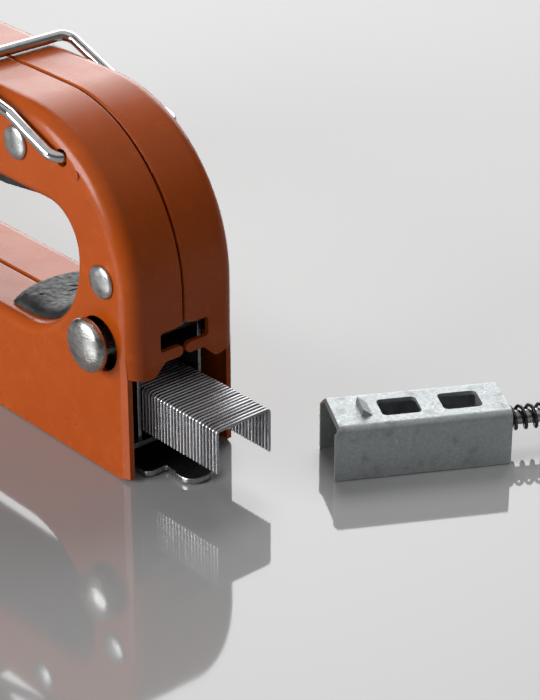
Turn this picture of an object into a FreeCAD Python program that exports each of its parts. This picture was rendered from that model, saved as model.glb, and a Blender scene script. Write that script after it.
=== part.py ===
import FreeCAD, Part
import Sketcher
import math
import os
import re
from FreeCAD import Rotation, Vector

# Light-duty hand tacker with its pusher and rod taken out of the magazine.
# The staple exit is at the origin on the base plane, +X runs back to the
# user's hand, -Y is the tool's left side and +Z is up. Millimetres, degrees.

os.makedirs("parts", exist_ok=True)
doc = FreeCAD.newDocument("HandTacker")
sheet = doc.addObject("Spreadsheet::Sheet", "Sizes")

sizes = {
    # pressed shells
    "body_length": 148.4, "body_width": 22, "body_height": 58, "shell_wall": 0.9, "seam_gap": 0.6,
    "seam_edge_round": 0.4, "side_round": 3, "spine_round_share": 0.475, "nose_gap": 0.125,
    "housing_rise": 17, "housing_front_round": 8, "housing_back_round": 9, "housing_top_inset": 1,
    "housing_foot_reach": 13, "bar_blend_round": 10, "heel_round": 4.2,
    # finger opening
    "grip_inset": 4, "grip_back_wall": 13.6, "magazine_head_gap": 1.8, "bar_depth": 15.05,
    "grip_heel_share": 0.7, "grip_palm_share": 0.289, "grip_front_share": 0.336, "grip_edge_round": 2,
    # rear mouth and latch window
    "mouth_head_gap": 1.9, "mouth_flare_rise": 1.6, "mouth_flare_place": 7.2, "mouth_flare_round": 2,
    "mouth_step_width": 10.2, "mouth_step_run": 1.1, "mouth_step_round": 1.1, "mouth_step_rise": 2.2,
    "tongue_gap": 0.8, "tongue_round": 0.9, "window_width": 9.8, "window_lip": 1.85,
    "window_depth": 3.35, "window_round": 0.5, "window_peak": 0.6, "window_peak_reach": 1.8,
    "mouth_cut_depth": 2.2, "floor_side_gap": 0.4,
    # slot for the lever
    "slot_side_gap": 0.6, "slot_front_reach": 7, "slot_back_reach": 19,
    # rivets and sleeves
    "rivet_shank": 3, "rivet_head": 5.6, "rivet_head_height": 1, "rivet_clearance": 0.1,
    "sleeve_diameter": 5.4, "head_rim_share": 0.25,
    "top_rivet_back": 27.8, "top_rivet_drop": 7.1, "back_rivet_back": 6.6, "back_rivet_rise": 15.3,
    "neck_rivet_inset": 3, "neck_rivet_low_rise": 6.2, "neck_rivet_high_rise": 2.05,
    # large domed pin at the rear
    "pin_back": 8, "pin_rise": 6.7, "pin_shank": 5, "pin_head": 9.1, "pin_head_height": 1.9,
    "pin_stand": 2.2, "pin_far_sink": 0.6, "pin_rim_depth": 0.5, "pin_hole_margin": 0.1,
    # small pressed pip beside the hole of the lock bail
    "pip_spine_inset": 2.68, "pip_spine_angle": 52.2, "pip_diameter": 1.5, "pip_rise": 0.2,
    "pip_round": 0.16,
    # magazine
    "channel_wall": 0.7, "channel_back": 4.1, "strip_side_gap": 0.3, "strip_head_gap": 1,
    "channel_ear_length": 11.1, "ear_slant": 2.9, "ear_cover": 4.9, "channel_ear_round": 3,
    "channel_front_gap": 0.225, "floor_top": 5.5, "floor_wall": 0.9, "floor_back": 3.1,
    "rail_side_gap": 0.49, "rail_head_gap": 0.24, "rail_wall": 0.8, "rail_back": 3.4,
    # bottom plate with its tongue
    "plate_wall": 1, "plate_front": 6, "plate_shoulder_inset": 0.7, "plate_shoulder_half": 7.6,
    "plate_shoulder_length": 3.5, "plate_shoulder_round": 1.2, "plate_tongue_width": 5.8,
    "plate_tongue_offset": 1.35, "plate_neck_width": 5, "plate_neck_length": 2.6,
    "plate_tongue_length": 6.75, "plate_tongue_round": 2.4,
    # driver, plunger and spring
    "blade_side_gap": 0.05, "blade_wall": 0.75, "blade_bottom": 0.4, "blade_clearance": 0.1,
    "nose_plate_wall": 1.1, "nose_plate_inset": 3, "nose_plate_height": 47, "guide_wall": 1.7,
    "plunger_front": 1.2, "plunger_wall": 1.5, "plunger_side_gap": 0.6, "plunger_bottom": 28,
    "plunger_drop": 2, "foot_wall": 2, "foot_width": 12, "foot_edge": 0.4, "ear_wall": 1.2, "ear_reach": 2.2,
    "lug_width": 4.8, "lug_depth": 3.5, "lug_drop": 6.5, "blade_drop": 5,
    "spring_axis": 14, "spring_side_gap": 0.3, "spring_wire": 1.5, "spring_turns": 8, "spring_end_gap": 0.05,
    "cap_wall": 6.5, "cap_rim": 0.2, "cap_pilot_gap": 0.2, "cap_pilot_depth": 3.5,
    "bumper_width": 11.4, "bumper_front": 3.2, "bumper_back": 20, "bumper_round": 1.5,
    # lever
    "pivot_place": 34, "pivot_shank": 5.8, "pivot_hole": 5.92, "pivot_head": 9, "pivot_head_height": 1.3,
    "washer_diameter": 10, "washer_wall": 1.1, "lever_wall": 0.9, "open_angle": 32, "lever_rest_gap": 0.6,
    "stud_place": 8.05, "arm_half": 3.6, "arm_round_share": 0.9, "lever_hub": 6.2, "hub_round_share": 0.8,
    "lever_hump": 8.8, "lever_hump_place": 26, "lever_web_front": 2,
    "lever_back": 66, "lever_back_top": 4.6, "lever_skirt": 3.4, "lever_tongue_end": 84,
    "lever_tongue_top": 0.9, "lever_edge_round": 0.6, "lever_tongue_width": 14, "lever_tongue_round": 5,
    "stud_diameter": 3.4,
    "stud_top_gap": 0.34, "stud_end_gap": 0.1,
    # lock bail
    "bail_wire": 1.9, "bail_spine_inset": 3.19, "bail_spine_angle": 61.7, "bail_side_gap": 0.25,
    "bail_leg_depth": 1.7,
    "bail_bend_reach": 11.4, "bail_bend_drop": 1.84, "bail_bar_reach": 28.4, "bail_rest_gap": 0.2,
    "bail_bend_round": 2.2, "bail_hole_gap": 0.5,
    # black pad in the heel of the finger opening, in two halves
    "insert_reach": 26.8, "insert_bow": 5.6, "insert_bow_round": 13, "insert_rise": 0.4,
    "insert_inset": 2.1, "insert_wall": 1.2, "insert_edge_round": 0.4, "insert_seam_gap": 0.04,
    # black liner under the top of the finger opening
    "liner_wall": 1.1, "liner_inset": 2.1, "liner_front_reach": 12, "liner_back_reach": 7.8,
    "liner_taper": 13, "liner_edge_round": 0.4,
    # staple strip
    "strip_out": 14.4, "staple_pitch": 0.8, "staple_count": 60, "crown_width": 11.3, "leg_length": 7.8,
    "leg_floor_gap": 1.1, "staple_wire": 0.56, "staple_groove": 0.12, "staple_bend_round": 0.7,
    # pusher, taken out and lying beside the tool
    "set_back": 14.9, "set_side": 17.2, "set_turn": 60.1, "pusher_length": 29.4, "pusher_width": 11.5,
    "pusher_height": 9.5, "pusher_wall": 0.7, "pusher_edge_round": 1.3, "window_one_share": 0.29,
    "window_two_share": 0.637, "window_length_share": 0.225, "pusher_window_width": 5.4,
    "pusher_window_round": 0.9, "nib_place_share": 0.11,
    "pusher_nib_length": 2.6, "pusher_nib_width": 3.2, "pusher_nib_height": 0.8,
    "tab_width": 4.8, "tab_bottom": 2.7,
    # guide rod, its spring and the rear catch
    "rod_diameter": 2.4, "rod_height": 5.2, "rod_gap": 0.07, "rod_head": 4, "rod_head_length": 1.2,
    "coil_diameter": 4.3, "coil_wire": 0.62, "coil_pitch": 1.75, "coil_play": 0.06, "catch_place": 147,
    "catch_wall": 1.2, "catch_width": 15, "catch_shoulder": 12.4, "catch_neck_width": 7.6, "catch_neck": 7,
    "catch_hook_length": 3.4, "catch_lip_length": 9, "catch_lip_round": 3.2, "catch_lip_width": 10,
    "catch_round": 2.2, "rod_tail": 1.4,
    # one overrun for every cut, and the smallest running gap
    "overrun": 2, "running_gap": 0.3,
}
for row, (alias, number) in enumerate(sizes.items(), 1):
    sheet.set(f"A{row}", alias)
    sheet.set(f"B{row}", str(number))
    sheet.setAlias(f"B{row}", alias)
doc.recompute()

# Places and sizes that follow from those above
follows = {
    "half_width": "body_width / 2",
    "inner_half": "half_width - shell_wall",
    "nose_overhang": "blade_wall / 2 + blade_clearance + nose_plate_wall + nose_gap + shell_wall",
    "pivot_height": "body_height + lever_skirt + lever_rest_gap",
    "housing_height": "pivot_height + housing_rise",
    "housing_foot": "pivot_place + housing_foot_reach",
    "housing_top_end": "pivot_place - housing_top_inset",
    "spine_round": "body_height * spine_round_share",
    "crown_top": "floor_top + leg_floor_gap + leg_length",
    "leg_bottom": "floor_top + leg_floor_gap",
    "channel_top": "crown_top + strip_head_gap + channel_wall",
    "channel_outer_width": "crown_width + 2 * (strip_side_gap + channel_wall)",
    "channel_front": "blade_wall / 2 + channel_front_gap",
    "channel_ear_top": "pin_height + ear_cover",
    "rail_width": "crown_width - 2 * (staple_wire + rail_side_gap)",
    "rail_top": "crown_top - staple_wire - rail_head_gap",
    "grip_front": "pivot_place + grip_inset",
    "grip_back": "body_length - grip_back_wall",
    "grip_floor": "channel_top + magazine_head_gap + shell_wall",
    "grip_top": "body_height - bar_depth",
    "grip_heel_round": "(grip_top - grip_floor) * grip_heel_share",
    "grip_palm_round": "(grip_top - grip_floor) * grip_palm_share",
    "grip_front_round": "(grip_top - grip_floor) * grip_front_share",
    "mouth_height": "channel_top + mouth_head_gap",
    "mouth_step_height": "mouth_height + mouth_step_rise",
    "window_floor": "mouth_step_height + window_lip",
    "window_top": "window_floor + window_depth",
    "floor_half": "inner_half - floor_side_gap",
    "spine_centre": "body_length - spine_round",
    "pin_height": "channel_top + pin_rise",
    "bail_place": "spine_centre + (spine_round - bail_spine_inset) * cos(bail_spine_angle)",
    "bail_height": "body_height - spine_round + (spine_round - bail_spine_inset) * sin(bail_spine_angle)",
    "bail_leg_half": "half_width + bail_side_gap + bail_wire / 2",
    "pip_place": "spine_centre + (spine_round - pip_spine_inset) * cos(pip_spine_angle)",
    "pip_height": "body_height - spine_round + (spine_round - pip_spine_inset) * sin(pip_spine_angle)",
    "pusher_window_one": "pusher_length * window_one_share",
    "pusher_window_two": "pusher_length * window_two_share",
    "pusher_window_length": "pusher_length * window_length_share",
    "lever_width": "2 * (inner_half - washer_wall)",
    "plunger_width": "lever_width - 2 * (lever_wall + plunger_side_gap)",
    "plunger_top": "pivot_height - plunger_drop",
    "lug_top": "plunger_top - lug_drop",
    "lug_bottom": "lug_top - lug_depth",
    "blade_top": "plunger_top - blade_drop",
    "blade_width": "crown_width - 2 * blade_side_gap",
    "arm_reach": "(pivot_place - stud_place) / cos(open_angle / 2)",
    "ear_bottom": "pivot_height - arm_reach * sin(open_angle / 2) + stud_diameter / 2 + stud_top_gap",
    "ear_back": "stud_place + ear_reach",
    "stud_inner_half": "plunger_width / 2 - ear_wall + stud_end_gap",
    "spring_diameter": "plunger_width - 2 * (ear_wall + spring_side_gap)",
    "foot_back": "spring_axis + spring_diameter / 2 + foot_edge",
    "cap_bottom": "housing_height - shell_wall - cap_wall",
    "cap_diameter": "spring_diameter + 2 * cap_rim",
    "cap_pilot": "spring_diameter - 2 * (spring_wire + cap_pilot_gap)",
    "bumper_top": "plunger_bottom - running_gap",
    "guide_top": "plunger_bottom - 2 * running_gap",
    "rod_hole": "rod_diameter + 2 * rod_gap",
    "catch_top": "catch_shoulder + catch_neck",
}

# Tolerances for finding edges and faces again
touch = 1e-4
slack = 0.01


# Helpers: expressions name the sheet's sizes in plain words

def term(text):
    def spell(match):
        word = match.group()
        return f"({term(follows[word])})" if word in follows else f"Sizes.{word}"
    return re.sub(r"\b(?!cos\b|sin\b)[a-z][a-z_]*\b", spell, text)


def size(text):
    return float(sheet.evalExpression(term(text)))


def new_body(label):
    body = doc.addObject("PartDesign::Body", label)
    body.Label = label
    return body


def new_sketch(body, plane_role, name, offset="0"):
    sketch = body.newObject("Sketcher::SketchObject", f"{body.Name}_{name}")
    plane = next(item for item in body.Origin.OriginFeatures if item.Role == plane_role)
    sketch.AttachmentSupport = [(plane, "")]
    sketch.MapMode = "FlatFace"
    sketch.setExpression("AttachmentOffset.Base.z", term(offset))
    return sketch


def corner_round(back, point, ahead, radius):
    into = (back - point).normalize()
    out = (ahead - point).normalize()
    half_angle = into.getAngle(out) / 2
    reach = radius / math.tan(half_angle)
    toward = (into + out).normalize()
    centre = point + toward * (radius / math.sin(half_angle))
    return point + into * reach, centre - toward * radius, point + out * reach


def outline(sketch, corners):
    # Each corner is (x, y) or (x, y, radius), as expressions of the sheet's sizes
    places = [Vector(size(corner[0]), size(corner[1]), 0) for corner in corners]
    count = len(corners)
    rounds = []
    for index, corner in enumerate(corners):
        point = places[index]
        if len(corner) == 3:
            ahead = places[(index + 1) % count]
            rounds.append(corner_round(places[index - 1], point, ahead, size(corner[2])))
        else:
            rounds.append((point, None, point))
    lines = []
    for index in range(count):
        line = Part.LineSegment(rounds[index][2], rounds[(index + 1) % count][0])
        lines.append(sketch.addGeometry(line))
    constraints = []
    driven = []

    def locate(geometry, corner):
        for kind, text in (("DistanceX", corner[0]), ("DistanceY", corner[1])):
            driven.append((len(constraints), text))
            constraints.append(Sketcher.Constraint(kind, -1, 1, geometry, 1, size(text)))

    for index, corner in enumerate(corners):
        before, after = lines[index - 1], lines[index]
        arrive, middle, leave = rounds[index]
        if middle is None:
            constraints.append(Sketcher.Constraint("Coincident", before, 2, after, 1))
            locate(after, corner)
            continue
        turn = (places[index] - places[index - 1]).cross(places[(index + 1) % count] - places[index]).z
        first, last = (1, 2) if turn > 0 else (2, 1)
        arc = sketch.addGeometry(Part.Arc(arrive, middle, leave))
        point = sketch.addGeometry(Part.Point(places[index]), True)
        constraints.append(Sketcher.Constraint("Tangent", before, 2, arc, first))
        constraints.append(Sketcher.Constraint("Tangent", arc, last, after, 1))
        constraints.append(Sketcher.Constraint("PointOnObject", point, 1, before))
        constraints.append(Sketcher.Constraint("PointOnObject", point, 1, after))
        locate(point, corner)
        driven.append((len(constraints), corner[2]))
        constraints.append(Sketcher.Constraint("Radius", arc, size(corner[2])))
    first_index = sketch.ConstraintCount
    sketch.addConstraint(constraints)
    for index, text in driven:
        sketch.setExpression(f"Constraints[{first_index + index}]", term(text))


def circle(sketch, x_text, y_text, diameter_text):
    centre = Vector(size(x_text), size(y_text), 0)
    ring = sketch.addGeometry(Part.Circle(centre, Vector(0, 0, 1), size(diameter_text) / 2))
    first_index = sketch.ConstraintCount
    sketch.addConstraint([
        Sketcher.Constraint("DistanceX", -1, 1, ring, 3, centre.x),
        Sketcher.Constraint("DistanceY", -1, 1, ring, 3, centre.y),
        Sketcher.Constraint("Diameter", ring, size(diameter_text)),
    ])
    for index, text in enumerate((x_text, y_text, diameter_text)):
        sketch.setExpression(f"Constraints[{first_index + index}]", term(text))


def box_corners(left, bottom, right, top, *radius):
    return [(left, bottom, *radius), (right, bottom, *radius), (right, top, *radius), (left, top, *radius)]


def pad(body, sketch, length, both_ways=False, flip=False):
    feature = body.newObject("PartDesign::Pad", f"{sketch.Name}_pad")
    feature.Profile = sketch
    feature.Midplane = both_ways
    feature.Reversed = flip
    feature.setExpression("Length", term(length))
    doc.recompute()
    return feature


def pocket(body, sketch, length, both_ways=False, flip=False):
    before = body.Shape.Volume
    feature = body.newObject("PartDesign::Pocket", f"{sketch.Name}_pocket")
    feature.Profile = sketch
    feature.Midplane = both_ways
    feature.Reversed = flip
    feature.setExpression("Length", term(length))
    doc.recompute()
    if feature.Shape.Volume >= before:
        raise RuntimeError(f"{feature.Name} cuts nothing")
    return feature


def edges_where(feature, test):
    return [f"Edge{index}" for index, edge in enumerate(feature.Shape.Edges, 1) if test(edge)]


def faces_where(feature, test):
    return [f"Face{index}" for index, face in enumerate(feature.Shape.Faces, 1) if test(face.BoundBox)]


def fillet(body, feature, radius, test):
    rounded = body.newObject("PartDesign::Fillet", f"{feature.Name}_fillet")
    rounded.Base = (feature, edges_where(feature, test))
    rounded.setExpression("Radius", term(radius))
    doc.recompute()
    return rounded


def same(first, second):
    return abs(first - second) < touch


def place_feature(feature, x_text, y_text, z_text):
    for axis, text in zip("xyz", (x_text, y_text, z_text)):
        feature.setExpression(f".Placement.Base.{axis}", term(text))


def group(label, members):
    compound = doc.addObject("Part::Compound", label)
    compound.Label = label
    compound.Links = members
    doc.recompute()
    return compound


def shape_feature(label, shape):
    feature = doc.addObject("Part::Feature", label)
    feature.Label = label
    feature.Shape = shape
    return feature


# Outline of one shell from the side, and of the finger opening in it
shell_outline = [
    ("-nose_overhang", "0"),
    ("body_length", "0"),
    ("body_length", "body_height", "spine_round"),
    ("housing_foot", "body_height", "bar_blend_round"),
    ("housing_top_end", "housing_height", "housing_back_round"),
    ("-nose_overhang", "housing_height", "housing_front_round"),
]
grip_outline = [
    ("grip_front", "grip_floor", "grip_front_round"),
    ("grip_back", "grip_floor", "grip_heel_round"),
    ("grip_back", "grip_top", "grip_palm_round"),
    ("grip_front", "grip_top", "grip_front_round"),
]
rivet_places = [
    ("body_length - top_rivet_back", "body_height - top_rivet_drop"),
    ("body_length - back_rivet_back", "grip_floor + back_rivet_rise"),
    ("pivot_place - neck_rivet_inset", "grip_floor + neck_rivet_low_rise"),
    ("pivot_place - neck_rivet_inset", "grip_top + neck_rivet_high_rise"),
]


# Pressed shells, mirror images of each other but for a pip on the left one

def build_shell(label, side):
    body = new_body(label)
    mirrored = side > 0
    face_y = side * size("half_width")
    seam_y = side * size("seam_gap / 2")
    profile = new_sketch(body, "XZ_Plane", "profile", f"{-side} * seam_gap / 2")
    outline(profile, shell_outline)
    outline(profile, grip_outline)
    blank = pad(body, profile, "half_width - seam_gap / 2", flip=mirrored)

    def around_grip(edge):
        box = edge.BoundBox
        inside_x = box.XMin > size("grip_front") - slack and box.XMax < size("grip_back") + slack
        return inside_x and box.ZMin > size("grip_floor") - slack and box.ZMax < size("grip_top") + slack

    def on_side(edge):
        return same(edge.BoundBox.YMin, face_y) and same(edge.BoundBox.YMax, face_y)

    def at_seam(edge):
        flat = same(edge.BoundBox.YMin, seam_y) and same(edge.BoundBox.YMax, seam_y)
        return flat and profile.Shape.distToShape(Part.Vertex(edge.valueAt(edge.FirstParameter)))[0] < slack

    rounded = fillet(body, blank, "side_round", lambda edge: on_side(edge) and not around_grip(edge)
                     and not same(edge.BoundBox.ZMax, 0))
    softened = fillet(body, rounded, "grip_edge_round", lambda edge: on_side(edge) and around_grip(edge))
    walls = body.newObject("PartDesign::Thickness", f"{label}_walls")
    walls.Base = (softened, faces_where(softened, lambda box: same(box.ZMax, 0)
                                        or same(box.YMin, seam_y) and same(box.YMax, seam_y)))
    walls.setExpression("Value", term("shell_wall"))
    walls.Reversed = True
    doc.recompute()
    fillet(body, walls, "seam_edge_round", at_seam)

    mouth = new_sketch(body, "YZ_Plane", "mouth", "body_length + overrun")
    outline(mouth, [
        (f"{-side} * overrun", "-overrun"),
        (f"{side} * body_width", "-overrun"),
        (f"{side} * body_width", "mouth_height + 2 * mouth_flare_rise"),
        (f"{side} * half_width", "mouth_height + mouth_flare_rise / 2"),
        (f"{side} * mouth_flare_place", "mouth_height", "mouth_flare_round"),
        (f"{side} * (mouth_step_width / 2 + mouth_step_run)", "mouth_height", "mouth_step_round"),
        (f"{side} * (mouth_step_width / 2 - mouth_step_run)", "mouth_step_height", "mouth_step_round"),
        (f"{side} * tongue_gap / 2", "mouth_step_height", "tongue_round"),
        (f"{side} * tongue_gap / 2", "window_floor", "tongue_round"),
        (f"{side} * window_width / 2", "window_floor", "window_round"),
        (f"{side} * window_width / 2", "window_top", "window_round"),
        (f"{side} * window_peak_reach", "window_top", "window_peak_reach / 2"),
        ("0", "window_top + window_peak"), (f"{-side} * overrun", "window_top + window_peak"),
    ])
    pocket(body, mouth, "mouth_cut_depth + overrun")

    slot = new_sketch(body, "XY_Plane", "slot", "body_height - shell_wall - seam_gap")
    outline(slot, box_corners("pivot_place - slot_front_reach", f"{-side} * overrun",
                              "pivot_place + slot_back_reach", f"{side} * (lever_width / 2 + slot_side_gap)"))
    pocket(body, slot, "housing_height", flip=True)

    holes = new_sketch(body, "XZ_Plane", "holes")
    for place_x, place_z in rivet_places:
        circle(holes, place_x, place_z, "rivet_shank + 2 * rivet_clearance")
    circle(holes, "pivot_place", "pivot_height", "pivot_shank + 2 * rivet_clearance")
    circle(holes, "body_length - pin_back", "pin_height", "pin_head + 2 * pin_hole_margin")
    circle(holes, "bail_place", "bail_height", "bail_wire + 2 * bail_hole_gap")
    pocket(body, holes, "body_width", flip=not mirrored)

    heel = new_sketch(body, "XZ_Plane", "heel")
    outline(heel, [
        ("body_length - heel_round - overrun", "-overrun"), ("body_length + overrun", "-overrun"),
        ("body_length + overrun", "heel_round + overrun"), ("body_length", "heel_round + overrun"),
        ("body_length", "0", "heel_round"), ("body_length - heel_round - overrun", "0"),
    ])
    pocket(body, heel, "body_width", flip=not mirrored)

    if mirrored:
        return body
    pip = new_sketch(body, "XZ_Plane", "pip", "half_width - shell_wall / 2")
    circle(pip, "pip_place", "pip_height", "pip_diameter")
    raised = pad(body, pip, "shell_wall / 2 + pip_rise")
    crown_y = -size("half_width + pip_rise")
    fillet(body, raised, "pip_round", lambda edge: same(edge.BoundBox.YMin, crown_y)
           and same(edge.BoundBox.YMax, crown_y))
    return body


left_shell = build_shell("left_shell", -1)
right_shell = build_shell("right_shell", 1)


# Turned pieces on cross axes, drawn as half profiles and revolved about Y

def turned_pin(name, shank, head, head_height, near_base, far_base, head_depth="0"):
    # A domed head at each end; each base is how far the head's seat plane stands from the middle
    body = new_body(name)
    profile = new_sketch(body, "XY_Plane", "profile")
    near, far = [
        (f"{base} + {head_height}", f"{base} + {head_height} * head_rim_share", f"{base} - {head_depth}")
        for base in (near_base, far_base)]
    outline(profile, [
        ("0", f"-({near[0]})"), (f"{head} / 4", f"-({near[0]})"), (f"{head} / 2", f"-({near[1]})"),
        (f"{head} / 2", f"-({near[2]})"), (f"{shank} / 2", f"-({near[2]})"), (f"{shank} / 2", far[2]),
        (f"{head} / 2", far[2]), (f"{head} / 2", far[1]), (f"{head} / 4", far[0]), ("0", far[0]),
    ])
    turned = body.newObject("PartDesign::Revolution", f"{name}_turned")
    turned.Profile = profile
    turned.ReferenceAxis = (profile, ["V_Axis"])
    turned.Angle = 360
    doc.recompute()
    return body


def tube_across(name, outer, inner, start, length):
    outside = doc.addObject("Part::Cylinder", f"{name}_outside")
    inside = doc.addObject("Part::Cylinder", f"{name}_inside")
    for feature, diameter in ((outside, outer), (inside, inner)):
        feature.setExpression("Radius", term(f"{diameter} / 2"))
        feature.setExpression("Height", term(length))
        feature.Placement.Rotation = Rotation(Vector(1, 0, 0), -90)
        feature.setExpression(".Placement.Base.y", term(start))
    ring = doc.addObject("Part::Cut", name)
    ring.Base = outside
    ring.Tool = inside
    doc.recompute()
    return ring


rivets = []
sleeves = []
for index, (place_x, place_z) in enumerate(rivet_places, 1):
    rivet = turned_pin(f"shell_rivet_{index}", "rivet_shank", "rivet_head", "rivet_head_height",
                       "half_width", "half_width")
    place_feature(rivet, place_x, "0", place_z)
    rivets.append(rivet)
    sleeve = tube_across(f"rivet_sleeve_{index}", "sleeve_diameter", "(rivet_shank + 2 * rivet_clearance)",
                         "-inner_half", "2 * inner_half")
    place_feature(sleeve, place_x, "0", place_z)
    sleeves.append(sleeve)
shell_rivets = group("shell_rivets", rivets)
rivet_sleeves = group("rivet_sleeves", sleeves)

rear_pin = turned_pin("rear_pin", "pin_shank", "pin_head", "pin_head_height", "half_width + pin_stand",
                      "half_width - pin_far_sink", "pin_rim_depth")
place_feature(rear_pin, "body_length - pin_back", "0", "pin_height")

lever_pivot_pin = turned_pin("lever_pivot_pin", "pivot_shank", "pivot_head", "pivot_head_height",
                             "half_width", "half_width")
place_feature(lever_pivot_pin, "pivot_place", "0", "pivot_height")

washers = []
for name, start in (("left_washer", "-inner_half"), ("right_washer", "lever_width / 2 + running_gap / 4")):
    washer = tube_across(name, "washer_diameter", "(pivot_shank + 2 * rivet_clearance)", start,
                         "washer_wall - running_gap / 4")
    place_feature(washer, "pivot_place", "0", "pivot_height")
    washers.append(washer)
pivot_washers = group("pivot_washers", washers)


# Magazine: floor, channel over the strip, rail under it

magazine_floor = new_body("magazine_floor")
floor_plan = new_sketch(magazine_floor, "XY_Plane", "plan", "floor_top - floor_wall")
outline(floor_plan, box_corners("channel_front", "-floor_half", "body_length - floor_back", "floor_half"))
pad(magazine_floor, floor_plan, "floor_wall")

magazine_channel = new_body("magazine_channel")
channel_end = "body_length - channel_back"
ear_front = "body_length - channel_back - channel_ear_length"
channel_side = new_sketch(magazine_channel, "XZ_Plane", "side")
outline(channel_side, [
    ("channel_front", "floor_top"), (channel_end, "floor_top"),
    (channel_end, "channel_ear_top", "channel_ear_round"),
    (f"{ear_front} + ear_slant", "channel_ear_top", "channel_ear_round"),
    (ear_front, "channel_top"), ("channel_front", "channel_top"),
])
pad(magazine_channel, channel_side, "channel_outer_width", both_ways=True)
channel_inner_half = "(crown_width / 2 + strip_side_gap)"
tunnel = new_sketch(magazine_channel, "YZ_Plane", "tunnel")
outline(tunnel, box_corners(f"-{channel_inner_half}", "floor_top - overrun", channel_inner_half,
                            "channel_top - channel_wall"))
pocket(magazine_channel, tunnel, "body_length", flip=True)
between_ears = new_sketch(magazine_channel, "XZ_Plane", "between_ears")
outline(between_ears, box_corners(ear_front, "floor_top", "body_length", "channel_ear_top + overrun"))
pocket(magazine_channel, between_ears, f"2 * {channel_inner_half}", both_ways=True)
pin_hole = new_sketch(magazine_channel, "XZ_Plane", "pin_hole")
circle(pin_hole, "body_length - pin_back", "pin_height", "pin_shank + 2 * rivet_clearance")
pocket(magazine_channel, pin_hole, "body_width", both_ways=True)

staple_rail = new_body("staple_rail")
rail_section = new_sketch(staple_rail, "YZ_Plane", "section", "channel_front")
rail_inner = "(rail_width / 2 - rail_wall)"
outline(rail_section, [
    ("-rail_width / 2", "floor_top"), ("rail_width / 2", "floor_top"), ("rail_width / 2", "rail_top"),
    (rail_inner, "rail_top"), (rail_inner, "floor_top + rail_wall"),
    (f"-{rail_inner}", "floor_top + rail_wall"), (f"-{rail_inner}", "rail_top"),
    ("-rail_width / 2", "rail_top"),
])
pad(staple_rail, rail_section, "body_length - rail_back - channel_front")


# Stamped bottom plate: a shallow tray whose tongue sticks out at the rear

bottom_plate = new_body("bottom_plate")
plate_back = "body_length - plate_shoulder_inset"
plate_shoulder = f"{plate_back} - plate_shoulder_length"
plate_plan = new_sketch(bottom_plate, "XY_Plane", "plan")
tongue_end = f"{plate_back} + plate_tongue_length"
neck_end = f"{plate_back} + plate_neck_length"
tongue_left = "(plate_tongue_width / 2 + plate_tongue_offset)"
tongue_right = "(plate_tongue_width / 2 - plate_tongue_offset)"
neck_left = "(plate_neck_width / 2 + plate_tongue_offset)"
neck_right = "(plate_neck_width / 2 - plate_tongue_offset)"
outline(plate_plan, [
    ("plate_front", "-floor_half"), (plate_shoulder, "-floor_half"),
    (plate_shoulder, "-plate_shoulder_half"), (plate_back, "-plate_shoulder_half", "plate_shoulder_round"),
    (plate_back, f"-{neck_left}", "tongue_gap / 2"), (neck_end, f"-{neck_left}"),
    (neck_end, f"-{tongue_left}", "tongue_gap / 4"), (tongue_end, f"-{tongue_left}", "plate_tongue_round"),
    (tongue_end, tongue_right, "plate_tongue_round"), (neck_end, tongue_right, "tongue_gap / 4"),
    (neck_end, neck_right), (plate_back, neck_right, "tongue_gap / 2"),
    (plate_back, "plate_shoulder_half", "plate_shoulder_round"), (plate_shoulder, "plate_shoulder_half"),
    (plate_shoulder, "floor_half"), ("plate_front", "floor_half"),
])
pad(bottom_plate, plate_plan, "plate_wall")
for side_name, sign in (("left_rim", "-"), ("right_rim", "")):
    rim = new_sketch(bottom_plate, "YZ_Plane", side_name, "plate_front")
    outline(rim, box_corners(f"{sign}(floor_half - plate_wall)", "plate_wall / 2", f"{sign}floor_half",
                             "floor_top - floor_wall"))
    pad(bottom_plate, rim, f"{plate_shoulder} - plate_front")


# Nose: plate in front of the driver blade and guide behind it

nose_plate = new_body("nose_plate")
nose_face = new_sketch(nose_plate, "YZ_Plane", "face", "-(blade_wall / 2 + blade_clearance)")
outline(nose_face, box_corners("nose_plate_inset - half_width", "0", "half_width - nose_plate_inset",
                               "nose_plate_height"))
pad(nose_plate, nose_face, "nose_plate_wall", flip=True)

blade_guide = new_body("blade_guide")
guide_face = new_sketch(blade_guide, "YZ_Plane", "face", "blade_wall / 2 + blade_clearance")
outline(guide_face, box_corners("-floor_half", "channel_top", "floor_half", "guide_top"))
pad(blade_guide, guide_face, "guide_wall")


# Driver blade and the plunger that lifts it

driver_blade = new_body("driver_blade")
blade_face = new_sketch(driver_blade, "YZ_Plane", "face")
outline(blade_face, box_corners("-blade_width / 2", "blade_bottom", "blade_width / 2", "blade_top"))
outline(blade_face, box_corners("-(lug_width / 2 + blade_clearance)", "lug_bottom - blade_clearance",
                                "lug_width / 2 + blade_clearance", "lug_top + blade_clearance"))
pad(driver_blade, blade_face, "blade_wall", both_ways=True)

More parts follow.
